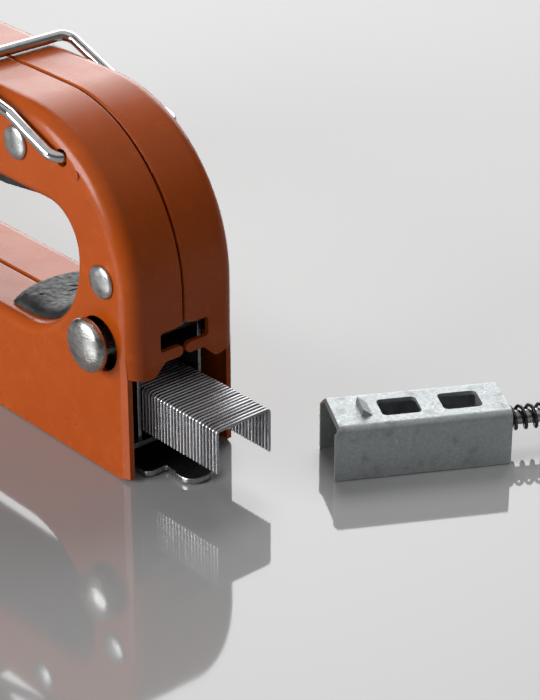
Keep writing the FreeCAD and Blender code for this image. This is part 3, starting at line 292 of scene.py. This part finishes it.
stapleWireSet = {
    "bright": (0.56, 0.56, 0.575), "dull": (0.29, 0.29, 0.305), "stretch": (5000.0, 500.0, 260.0),
    "roughness": (0.14, 0.36), "lineDepth": 0.012 * mm,
}


def makeStapleWire():
    # Each wire of the strip has its own tone
    material, tree, shader, place = startMaterial("stapleWire", {"Metallic": 1.0})
    island = addNode(tree, "ShaderNodeNewGeometry").outputs["Random Per Island"]
    base = blendColours(tree, island, stapleWireSet["bright"], stapleWireSet["dull"])
    tree.links.new(base, shader["Base Color"])
    lines = placeGroup(tree, "brushing", place, Stretch=stapleWireSet["stretch"], Detail=3.0)
    tree.links.new(spreadValue(tree, lines, stapleWireSet["roughness"]), shader["Roughness"])
    addBump(tree, shader, lines, stapleWireSet["lineDepth"], 0.7)
    return material


grainedSets = {
    "blackPlastic": {"colour": (0.010, 0.011, 0.0125), "light": (0.026, 0.028, 0.031), "grainScale": 2000.0,
                     "depth": 0.05 * mm, "roughness": (0.38, 0.6)},
    "capPlastic": {"colour": (0.02, 0.02, 0.022), "light": (0.035, 0.035, 0.037), "grainScale": 1500.0,
                   "depth": 0.01 * mm, "roughness": (0.35, 0.5)},
    "rubberBlack": {"colour": (0.018, 0.018, 0.018), "light": (0.04, 0.04, 0.04), "grainScale": 1800.0,
                    "depth": 0.02 * mm, "roughness": (0.6, 0.8)},
}


def makeGrained(name, colour, light, grainScale, depth, roughness):
    # Moulded plastic or rubber with a pebbled grain and rubbed places
    material, tree, shader, place = startMaterial(name, {"Specular IOR Level": 0.42})
    pebble = placeGroup(tree, "dents", place, Scale=grainScale, Softness=0.3)
    rub = placeGroup(tree, "speckle", place, Scale=220.0, Detail=5.0, Low=0.4, High=0.72)
    cloud = placeNoise(tree, "ShaderNodeTexNoise", place, Scale=grainScale * 0.6, Detail=5.0)["Fac"]
    tree.links.new(blendColours(tree, rub, colour, light), shader["Base Color"])
    tree.links.new(spreadValue(tree, cloud, roughness), shader["Roughness"])
    under = addBump(tree, shader, pebble, depth, 0.8)
    addBump(tree, shader, cloud, depth * 1.6, 0.7, under)
    return material


finish = {"enamel": makeEnamel(), "galvanised": makeGalvanised(), "stapleWire": makeStapleWire()}
finish.update({name: makeMetal(name, **look) for name, look in metalSets.items()})
finish.update({name: makeGrained(name, **look) for name, look in grainedSets.items()})
print("materials made")


# ---- piece helpers

edgeSet = {
    "angle": math.radians(30), "sharp": 38, "weight": 80, "merge": 0.001 * mm, "flat": math.radians(0.8),
}


def finishPiece(name, work, material, body, replaced, sharp=edgeSet["sharp"]):
    # A bmesh becomes a smooth-shaded piece that rides on a CAD body in place of CAD nodes
    mesh = bpy.data.meshes.new(name)
    work.to_mesh(mesh)
    work.free()
    mesh.shade_smooth()
    mesh.set_sharp_from_angle(angle=math.radians(sharp))
    piece = bpy.data.objects.new(name, mesh)
    scene.collection.objects.link(piece)
    mesh.materials.append(finish[material])
    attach(piece, body)
    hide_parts(*replaced)
    return piece


def roundEdges(piece, width, segments=2):
    bevel = piece.modifiers.new("edges", "BEVEL")
    bevel.width = width
    bevel.segments = segments
    bevel.limit_method = "ANGLE"
    bevel.angle_limit = edgeSet["angle"]
    bevel.harden_normals = False
    even = piece.modifiers.new("normals", "WEIGHTED_NORMAL")
    even.keep_sharp = True
    even.weight = edgeSet["weight"]


def mergedCopy(nodeName):
    # The CAD node's triangles, merged and with its flat faces joined
    work = bmesh.new()
    work.from_mesh(nodes[nodeName].data)
    bmesh.ops.remove_doubles(work, verts=work.verts, dist=edgeSet["merge"])
    bmesh.ops.dissolve_degenerate(work, dist=edgeSet["merge"], edges=work.edges)
    bmesh.ops.dissolve_limit(work, angle_limit=edgeSet["flat"], verts=work.verts, edges=work.edges)
    return work


def steadyOrder(work):
    # Spun and drawn edges and faces are put in the order of their points, the same in each run
    work.verts.index_update()
    span = len(work.verts)
    for items in (work.edges, work.faces):
        places = {}
        for item in items:
            first, second, third = (sorted(vert.index for vert in item.verts) + [0])[:3]
            places[item] = (first * span + second) * span + third
        items.sort(key=places.get)
        items.index_update()


def dressNode(nodeName, pieceName, material, body, slot, width):
    piece = finishPiece(pieceName, mergedCopy(nodeName), material, body, (nodeName,))
    roundEdges(piece, width)
    return piece


# ---- pressed shells, lever and plates, from the CAD's own forms

shellSet = {
    "seam": 0.3 * mm, "near": 1.3 * mm, "close": 0.13 * mm, "slack": 0.01 * mm,
    "cut": 146.2 * mm, "cutSlack": 0.05 * mm, "cutReach": 0.8 * mm, "cutTop": 19.4 * mm, "cutSide": 8.5 * mm,
    "cutIn": 0.25 * mm, "edge": 0.16 * mm, "edgeSteps": 3,
}


def makeShell(nodeName, pieceName, sign):
    # The seam edges stand closer, and the side's edge in the mouth reaches further back
    work = mergedCopy(nodeName)
    for vert in work.verts:
        spot = vert.co
        side = abs(spot.y)
        if shellSet["seam"] - shellSet["slack"] < side < shellSet["near"]:
            share = (shellSet["near"] - side) / (shellSet["near"] - shellSet["seam"])
            spot.y -= sign * shellSet["close"] * min(1.0, share)
        low = spot.z < shellSet["cutTop"] and side > shellSet["cutSide"]
        if low and abs(spot.x - shellSet["cut"]) < shellSet["cutSlack"]:
            spot.x += shellSet["cutReach"]
            spot.y -= sign * shellSet["cutIn"]
    piece = finishPiece(pieceName, work, "enamel", "frame", (nodeName,))
    roundEdges(piece, shellSet["edge"], shellSet["edgeSteps"])


makeShell("left_shell", "leftShellSkin", -1)
makeShell("right_shell", "rightShellSkin", 1)

dressedSet = (
    ("lever", "leverSkin", "enamel", "lever", "orange_paint", 0.16 * mm),
    # The rail and the magazine floor take the sheet steel that is painted dark as painted shade
    ("staple_rail", "railSkin", "shadedSheetSteel", "frame", "bright_steel", 0.12 * mm),
    ("magazine_floor", "floorSkin", "shadedSheetSteel", "frame", "bright_steel", 0.12 * mm),
    ("nose_plate", "nosePlateSkin", "bladeSteel", "frame", "bright_steel", 0.2 * mm),
    ("rod_catch", "catchSkin", "galvanised", "rod_set", "zinc_plate", 0.2 * mm),
    ("guide_rod", "rodSkin", "rodSteel", "rod_set", "bright_steel", 0.12 * mm),
)
for dressed in dressedSet:
    dressNode(*dressed)


# Where brighter steel goes on the plate's rim and the channel's ear edges: bare edge and painted highlight
bareAndHighlightSet = {"plateFrom": 144.5 * mm, "upright": 0.3, "channelFrom": 139.0 * mm, "rearward": 0.9}


def bareAndHighlightFaces(piece, material, isBare):
    # Faces that pass the test get a brighter metal: partly bare metal, partly a painted highlight
    piece.data.materials.append(finish[material])
    for face in piece.data.polygons:
        if isBare(face):
            face.material_index = 1


def makePlate():
    # Black plate whose sheared rim gets bright steel where it comes out of the mouth: partly the bare edge,
    # partly a painted highlight where the edge catches light
    piece = dressNode("bottom_plate", "bottomPlateSkin", "blackPlate", "frame", "dark_steel", 0.2 * mm)
    bareAndHighlightFaces(piece, "bladeSteel", lambda face: face.center.x > bareAndHighlightSet["plateFrom"]
              and abs(face.normal.z) < bareAndHighlightSet["upright"])


def makeChannel():
    # The ears' rear edges get brighter steel than the rest, a painted highlight on the sheet steel that is
    # painted dark as shade
    piece = dressNode("magazine_channel", "channelSkin", "shadedSheetSteel", "frame", "bright_steel", 0.12 * mm)
    bareAndHighlightFaces(piece, "rivetSteel", lambda face: face.center.x > bareAndHighlightSet["channelFrom"]
              and face.normal.x > bareAndHighlightSet["rearward"])


pusherSet = {
    "turn": math.radians(60.1), "edge": 0.16 * mm,
    "nibFrom": 99.3 * mm, "nibTo": 102.4 * mm, "nibMiddle": -132.99 * mm, "nibHalf": 1.75 * mm,
    "nibFoot": 9.45 * mm, "nibTop": 9.7 * mm, "nibWiden": 0.35, "nibRise": 0.45 * mm, "nibFlip": 1.6 * mm,
    "nibBack": 1.1 * mm,
    "front": 96.4 * mm, "bendFrom": 8.2 * mm, "bend": 1.3 * mm, "cut": 0.8 * mm, "cutCurve": 0.6,
}


def makePusher():
    # The nib is wide with its high end at the front, and the front's upper corners are cut back
    work = mergedCopy("pusher")
    along = Vector((math.cos(pusherSet["turn"]), math.sin(pusherSet["turn"]), 0))
    across = Vector((-along.y, along.x, 0))
    for vert in work.verts:
        reach, side = vert.co.dot(along), vert.co.dot(across) - pusherSet["nibMiddle"]
        inside = pusherSet["nibFrom"] < reach < pusherSet["nibTo"] and abs(side) < pusherSet["nibHalf"]
        if inside and vert.co.z > pusherSet["nibFoot"]:
            vert.co += across * side * pusherSet["nibWiden"] + along * pusherSet["nibBack"]
            if vert.co.z > pusherSet["nibTop"]:
                vert.co += Vector((0, 0, pusherSet["nibRise"])) - along * pusherSet["nibFlip"]
        elif reach < pusherSet["front"] and vert.co.z > pusherSet["bendFrom"]:
            share = min(1.0, (vert.co.z - pusherSet["bendFrom"]) / pusherSet["bend"])
            vert.co += along * pusherSet["cut"] * share ** pusherSet["cutCurve"]
    piece = finishPiece("pusherSkin", work, "galvanised", "pusher", ("pusher",))
    roundEdges(piece, pusherSet["edge"])


shadeLinerSet = {"below": 42.4 * mm, "drop": 0.6 * mm, "spread": 1.05, "edge": 0.3 * mm, "edgeSteps": 3}


def makeShadeLiner():
    # The black liner under the grip is painted shade, a dark band that stands in for the shade under the
    # grip's edge; it is made a little wider and deeper
    work = mergedCopy("grip_liner")
    for vert in work.verts:
        vert.co.y *= shadeLinerSet["spread"]
        if vert.co.z < shadeLinerSet["below"]:
            vert.co.z -= shadeLinerSet["drop"]
    piece = finishPiece("shadeLinerSkin", work, "blackPlastic", "frame", ("grip_liner",))
    roundEdges(piece, shadeLinerSet["edge"], shadeLinerSet["edgeSteps"])


padSet = {
    "floor": 18.82 * mm, "back": 134.78 * mm, "arc": 16.9 * mm, "front": 110.8 * mm, "head": 36.0 * mm,
    "half": 8.1 * mm, "aside": 0.25 * mm, "length": 33.9 * mm, "bow": 2.2 * mm, "thick": 1.5 * mm,
    "base": 0.3 * mm, "least": 0.02 * mm, "along": 200, "across": 90, "crown": 4.6,
    "frontShare": 0.05, "headShare": 0.04, "ripple": 0.07 * mm, "ripples": (26, 9), "creaseDepth": 0.36 * mm,
    "creases": (        # place along, place across, slant, half length, width
        (0.205, 0.18, 0.16, 0.16, 0.0055), (0.235, 0.03, 0.03, 0.19, 0.0055),
        (0.270, -0.25, 0.3, 0.08, 0.0055), (0.145, -0.60, 0.2, 0.05, 0.005),
        (0.34, 0.30, 0.08, 0.25, 0.006), (0.44, -0.2, 0.05, 0.3, 0.007)),
}


def padPoint(along, lift):
    # A point above the floor, round the heel and up the palm of the finger opening
    flat = padSet["back"] - padSet["arc"] - padSet["front"]
    bend = 0.5 * math.pi * padSet["arc"]
    centreX, centreZ = padSet["back"] - padSet["arc"], padSet["floor"] + padSet["arc"]
    rise = padSet["head"] - centreZ
    reach = along * (flat + bend + rise)
    if reach < flat:
        return padSet["front"] + reach, padSet["floor"] + lift
    if reach < flat + bend:
        turn = (reach - flat) / padSet["arc"]
        radius = padSet["arc"] - lift
        return centreX + radius * math.sin(turn), centreZ - radius * math.cos(turn)
    return padSet["back"] - lift, centreZ + reach - flat - bend


def padLift(along, across):
    # Crowned, thin at its rims, with folds pressed into it
    side = max(0.0, 1 - abs(across) ** padSet["crown"]) ** 0.5
    front = min(1.0, along / padSet["frontShare"]) ** 0.5
    head = min(1.0, (1 - along) / padSet["headShare"]) ** 0.5
    lift = padSet["thick"] * side * front * head
    for centre, middle, slant, length, width in padSet["creases"]:
        run = (across - middle) / length
        if abs(run) < 1:
            away = (along - centre - slant * (across - middle)) / width
            lift -= padSet["creaseDepth"] * math.exp(-away * away) * (1 - run * run)
    spot = (along * padSet["ripples"][0], across * padSet["ripples"][1], 0.7)
    lift += padSet["ripple"] * noise.noise(spot) * side * front * head
    return max(lift, padSet["least"])


def makePad():
    work = bmesh.new()
    bmesh.ops.create_grid(work, x_segments=padSet["along"], y_segments=padSet["across"], size=1.0)
    for vert in work.verts:
        share, across = (vert.co.x + 1) / 2, vert.co.y
        bowed = padSet["bow"] / padSet["length"] * across * across
        x, z = padPoint(bowed + (1 - bowed) * share, padLift(share, across))
        vert.co = (x, padSet["aside"] + across * padSet["half"], z)
    bmesh.ops.recalc_face_normals(work, faces=work.faces)
    bmesh.ops.solidify(work, geom=work.faces[:], thickness=padSet["base"])
    steadyOrder(work)
    bmesh.ops.recalc_face_normals(work, faces=work.faces)
    finishPiece("heelPad", work, "blackPlastic", "frame",
                ("left_heel_insert", "right_heel_insert"), 70)


makePlate()
makeChannel()
makePusher()
makeShadeLiner()
makePad()
print("pressed pieces dressed")


# ---- turned pieces on cross axes

turnedSet = {"ease": 0.12 * mm, "spinSteps": 48, "shaftSides": 32, "merge": 0.002 * mm, "sharp": 60}


def turnedProfile(radius, base, rise, rim, steps=14):
    # Half outline of a head: seat, upright rim, then a low dome
    ease = turnedSet["ease"]
    points = [(0.0, base), (radius - ease, base), (radius, base + ease), (radius, base + rim)]
    for step in range(1, steps + 1):
        turn = 0.5 * math.pi * step / steps
        points.append((radius * math.cos(turn), base + rim + (rise - rim) * math.sin(turn)))
    return points


def addTurned(work, profile, place, sign):
    # The half outline is spun a full turn about the cross axis
    verts = [work.verts.new((place[0] + reach, sign * along, place[1])) for reach, along in profile]
    edges = [work.edges.new(pair) for pair in zip(verts, verts[1:])]
    bmesh.ops.spin(work, geom=verts + edges, cent=(place[0], 0, place[1]), axis=(0, 1, 0),
                   angle=2 * math.pi, steps=turnedSet["spinSteps"], use_merge=True)


def addShaft(work, place, radius, reach):
    lying = Matrix.Translation((place[0], 0, place[1])) @ Matrix.Rotation(math.pi / 2, 4, "X")
    made = bmesh.ops.create_cone(work, cap_ends=True, segments=turnedSet["shaftSides"], radius1=radius,
                                 radius2=radius, depth=2 * reach, matrix=lying)
    return made["verts"]


def finishTurned(name, work, material, nodeName):
    bmesh.ops.remove_doubles(work, verts=work.verts, dist=turnedSet["merge"])
    steadyOrder(work)
    bmesh.ops.recalc_face_normals(work, faces=work.faces)
    finishPiece(name, work, material, "frame", (nodeName,), turnedSet["sharp"])


def makeHeads(name, nodeName, headSet):
    # Domed heads on both sides of the body, joined by a shank
    work = bmesh.new()
    profile = turnedProfile(headSet["radius"], headSet["base"], headSet["rise"], headSet["rim"])
    for place in headSet["places"]:
        for sign in (-1, 1):
            addTurned(work, profile, place, sign)
        addShaft(work, place, headSet["shank"], headSet["base"])
    finishTurned(name, work, "rivetSteel", nodeName)


rivetSet = {
    "places": ((120.6 * mm, 50.9 * mm), (141.8 * mm, 34.1 * mm), (31.0 * mm, 25.0 * mm),
               (31.0 * mm, 44.99 * mm)),
    "radius": 2.8 * mm, "base": 11.0 * mm, "rise": 1.0 * mm, "rim": 0.28 * mm, "shank": 1.5 * mm,
}
pivotSet = {
    "places": ((34.0 * mm, 62.0 * mm),),
    "radius": 4.5 * mm, "base": 11.0 * mm, "rise": 1.3 * mm, "rim": 0.35 * mm, "shank": 2.9 * mm,
}
pinSet = {
    "place": (140.4 * mm, 22.8 * mm), "nearPlace": (140.4 * mm, 23.3 * mm), "radius": 4.5 * mm,
    "nearBase": 12.7 * mm, "farBase": 9.9 * mm, "rise": 2.4 * mm, "rim": 0.85 * mm, "steps": 18,
    "shank": 2.5 * mm, "shankPlay": 0.01 * mm, "farOver": 0.1 * mm,
}


def makePin():
    # The near head stands proud on its shank, and the far head is sunk
    work = bmesh.new()
    for place, base, sign in ((pinSet["nearPlace"], pinSet["nearBase"], -1),
                              (pinSet["place"], pinSet["farBase"], 1)):
        profile = turnedProfile(pinSet["radius"], base, pinSet["rise"], pinSet["rim"], pinSet["steps"])
        addTurned(work, profile, place, sign)
    addShaft(work, pinSet["place"], pinSet["shank"], pinSet["farBase"] + pinSet["farOver"])
    near = addShaft(work, pinSet["place"], pinSet["shank"] + pinSet["shankPlay"], pinSet["nearBase"])
    for vert in near:
        vert.co.y = min(vert.co.y, 0.0)
    finishTurned("rearPinTurned", work, "pinSteel", "rear_pin")


makeHeads("rivetHeads", "shell_rivets", rivetSet)
makePin()
makeHeads("pivotTurned", "lever_pivot_pin", pivotSet)
print("turned pieces made")


# ---- wires: the strip's staples and the bail

def drawOn(work, cap, move):
    # The end face of a wire is pushed on in a straight line
    made = bmesh.ops.extrude_face_region(work, geom=cap)["geom"]
    bmesh.ops.translate(work, verts=[item for item in made if isinstance(item, bmesh.types.BMVert)], vec=move)
    return made


def addWire(work, corners, across, halves, wireSet):
    # A capped ring is drawn along the straight runs and spun round the bends
    points = [Vector(corner) for corner in corners]
    ahead = (points[1] - points[0]).normalized()
    side = (across - ahead * across.dot(ahead)).normalized()
    turned = Matrix((side, ahead.cross(side), ahead)).transposed().to_4x4()
    ring = bmesh.ops.create_circle(work, cap_ends=True, segments=wireSet["sides"], radius=1.0)["verts"]
    for vert in ring:
        vert.co.x = halves[0] * math.copysign(abs(vert.co.x) ** wireSet["blunt"], vert.co.x)
        vert.co.y = halves[1] * math.copysign(abs(vert.co.y) ** wireSet["blunt"], vert.co.y)
    bmesh.ops.transform(work, matrix=Matrix.Translation(points[0]) @ turned, verts=ring)
    face = ring[0].link_faces[0]
    cap = [face] + list(face.edges) + list(face.verts)
    here = points[0]
    for before, corner, after in zip(points, points[1:], points[2:]):
        back, ahead = (before - corner).normalized(), (after - corner).normalized()
        half = back.angle(ahead) / 2
        reach = wireSet["turn"] / math.tan(half)
        centre = corner + (back + ahead).normalized() * wireSet["turn"] / math.sin(half)
        cap = drawOn(work, cap, corner + back * reach - here)
        cap = bmesh.ops.spin(work, geom=cap, cent=centre, axis=ahead.cross(back), angle=math.pi - 2 * half,
                             steps=wireSet["turnSteps"])["geom_last"]
        here = corner + ahead * reach
    drawOn(work, cap, points[-1] - here)


def finishWire(name, work, material, body, nodeName):
    steadyOrder(work)
    bmesh.ops.recalc_face_normals(work, faces=work.faces)
    finishPiece(name, work, material, body, (nodeName,), 60)


stapleSet = {
    "count": 60, "pitch": 0.8 * mm, "back": 162.8 * mm,
    "half": 5.65 * mm, "top": 14.4 * mm, "foot": 6.6 * mm,
    "thick": 0.56 * mm, "wide": 0.66 * mm, "blunt": 0.84, "sides": 10, "turn": 0.55 * mm, "turnSteps": 4,
    "sway": 0.06 * mm, "lean": 0.06 * mm,
}


def makeStaples():
    work = bmesh.new()
    halves = (stapleSet["wide"] / 2, stapleSet["thick"] / 2)
    reach = stapleSet["half"] - halves[1]
    for index in range(stapleSet["count"]):
        x = stapleSet["back"] - (index + 0.5) * stapleSet["pitch"]
        top = stapleSet["top"] - halves[1] - random.uniform(0, stapleSet["sway"])
        lean = [random.uniform(-0.5, 0.5) * stapleSet["lean"] for side in range(2)]
        corners = [(x + lean[0], -reach, stapleSet["foot"]), (x, -reach, top), (x, reach, top),
                   (x + lean[1], reach, stapleSet["foot"])]
        addWire(work, corners, Vector((1, 0, 0)), halves, stapleSet)
    finishWire("stapleWires", work, "stapleWire", "staples", "staple_strip")


bailSet = {
    "hole": (132.40 * mm, 51.90 * mm), "bend": (121.0 * mm, 56.16 * mm), "bar": (104.0 * mm, 59.15 * mm),
    "inside": 9.35 * mm, "leg": 12.2 * mm, "farIn": 0.2 * mm, "farBack": 3.0 * mm, "farDown": 1.9 * mm,
    "radius": 0.95 * mm, "blunt": 1.0, "sides": 20, "turn": 2.2 * mm, "turnSteps": 8,
}


def makeBail():
    # From the near hole over the body to the far hole; the far leg bends later and lower
    work = bmesh.new()
    hole, bend, bar = bailSet["hole"], bailSet["bend"], bailSet["bar"]
    leg, inside = bailSet["leg"], bailSet["inside"]
    far = leg - bailSet["farIn"]
    corners = [(hole[0], -inside, hole[1]), (hole[0], -leg, hole[1]), (bend[0], -leg, bend[1]),
               (bar[0], -leg, bar[1]), (bar[0], far, bar[1]),
               (bend[0] - bailSet["farBack"], far, bend[1] - bailSet["farDown"]),
               (hole[0], far, hole[1]), (hole[0], inside, hole[1])]
    addWire(work, corners, Vector((0.3, 0.2, 0.93)), (bailSet["radius"],) * 2, bailSet)
    finishWire("bailWire", work, "polishedWire", "bail", "lock_bail")


makeStaples()
makeBail()
print("wires made")


# ---- pieces that keep the CAD's shape as it is

keptFinish = {
    "blade_guide": "bladeSteel", "driver_blade": "bladeSteel", "plunger": "bladeSteel",
    "pivot_washers": "bladeSteel", "lift_studs": "rodSteel", "rivet_sleeves": "rodSteel",
    "bumper": "rubberBlack", "spring_cap": "capPlastic", "main_spring": "springSteel",
    "pusher_spring": "springSteel",
}
for nodeName, material in keptFinish.items():
    for materialSlot in nodes[nodeName].material_slots:
        materialSlot.material = finish[material]


# ---- floor, backdrop and light

stageSet = {
    "floorTone": (0.38, 0.38, 0.38, 1.0), "mirror": 0.137, "blur": 0.05, "size": 6.0, "below": 0.2 * mm,
}


def makeFloor():
    work = bmesh.new()
    bmesh.ops.create_grid(work, x_segments=1, y_segments=1, size=stageSet["size"])
    mesh = bpy.data.meshes.new("studioFloor")
    work.to_mesh(mesh)
    work.free()
    floor = bpy.data.objects.new("studioFloor", mesh)
    floor.location = (0, 0, -stageSet["below"])
    scene.collection.objects.link(floor)
    material = bpy.data.materials.new("paleFloor")
    material.use_nodes = True
    tree = material.node_tree
    tree.nodes.clear()
    matte = addNode(tree, "ShaderNodeBsdfDiffuse", Color=stageSet["floorTone"])
    gloss = addNode(tree, "ShaderNodeBsdfGlossy", Color=(1.0, 1.0, 1.0, 1.0), Roughness=stageSet["blur"])
    both = addNode(tree, "ShaderNodeMixShader", Fac=stageSet["mirror"])
    out = addNode(tree, "ShaderNodeOutputMaterial")
    tree.links.new(matte.outputs["BSDF"], both.inputs[1])
    tree.links.new(gloss.outputs["BSDF"], both.inputs[2])
    tree.links.new(both.outputs["Shader"], out.inputs["Surface"])
    mesh.materials.append(material)


worldSet = {
    "ambient": 0.23, "shown": 0.92, "gloss": (0.12, 4.7), "bright": (-0.713, 0.631, 0.305),
    "patch": (0.80, 1.0), "overhead": (0.0, 0.55), "overheadSpan": (0.5, 0.85),
}


def mixNumbers(tree, factor, first, second):
    mix = addNode(tree, "ShaderNodeMix", data_type="FLOAT")
    tree.links.new(factor, mix.inputs[0])
    for index, value in ((2, first), (3, second)):
        if isinstance(value, float):
            mix.inputs[index].default_value = value
        else:
            tree.links.new(value, mix.inputs[index])
    return mix.outputs[0]


def makeWorld():
    # Even light, with soft bright patches low behind the tool and overhead that only gloss shows
    world = bpy.data.worlds.new("studio")
    scene.world = world
    world.use_nodes = True
    tree = world.node_tree
    tree.nodes.clear()
    way = addNode(tree, "ShaderNodeTexCoord").outputs["Generated"]
    facing = addNode(tree, "ShaderNodeVectorMath", operation="DOT_PRODUCT")
    facing.inputs[1].default_value = worldSet["bright"]
    height = addNode(tree, "ShaderNodeSeparateXYZ")
    tree.links.new(way, facing.inputs[0])
    tree.links.new(way, height.inputs[0])
    total = addNode(tree, "ShaderNodeMath", operation="ADD")
    tree.links.new(spreadValue(tree, facing.outputs["Value"], worldSet["gloss"], worldSet["patch"]),
                   total.inputs[0])
    tree.links.new(spreadValue(tree, height.outputs["Z"], worldSet["overhead"], worldSet["overheadSpan"]),
                   total.inputs[1])
    path = addNode(tree, "ShaderNodeLightPath").outputs
    room = mixNumbers(tree, path["Is Glossy Ray"], worldSet["ambient"], total.outputs["Value"])
    seen = mixNumbers(tree, path["Is Camera Ray"], room, worldSet["shown"])
    sky = addNode(tree, "ShaderNodeBackground")
    out = addNode(tree, "ShaderNodeOutputWorld")
    tree.links.new(seen, sky.inputs["Strength"])
    tree.links.new(sky.outputs["Background"], out.inputs["Surface"])


lampSets = {
    "overheadSoftbox": {"place": (-0.25, 0.45, 0.85), "aim": (0.12, 0, 0.03), "size": (0.6, 0.5),
                        "power": 5.0, "mirrored": False},
    "sideSoftbox": {"place": (-0.15, -1.0, 0.42), "aim": (0.1, 0, 0.03), "size": (0.7, 0.5),
                    "power": 11.8, "mirrored": True},
}


def makeLamp(name, lampSet):
    light = bpy.data.lights.new(name, "AREA")
    light.shape = "RECTANGLE"
    light.size, light.size_y = lampSet["size"]
    light.energy = lampSet["power"]
    lamp = bpy.data.objects.new(name, light)
    lamp.location = lampSet["place"]
    lamp.visible_glossy = lampSet["mirrored"]
    lamp.rotation_mode = "QUATERNION"
    toward = Vector(lampSet["aim"]) - Vector(lampSet["place"])
    lamp.rotation_quaternion = toward.to_track_quat("-Z", "Y")
    scene.collection.objects.link(lamp)


makeFloor()
makeWorld()
for lampName, lampSet in lampSets.items():
    makeLamp(lampName, lampSet)
scene.view_settings.view_transform = "Standard"
print("stage and light set")
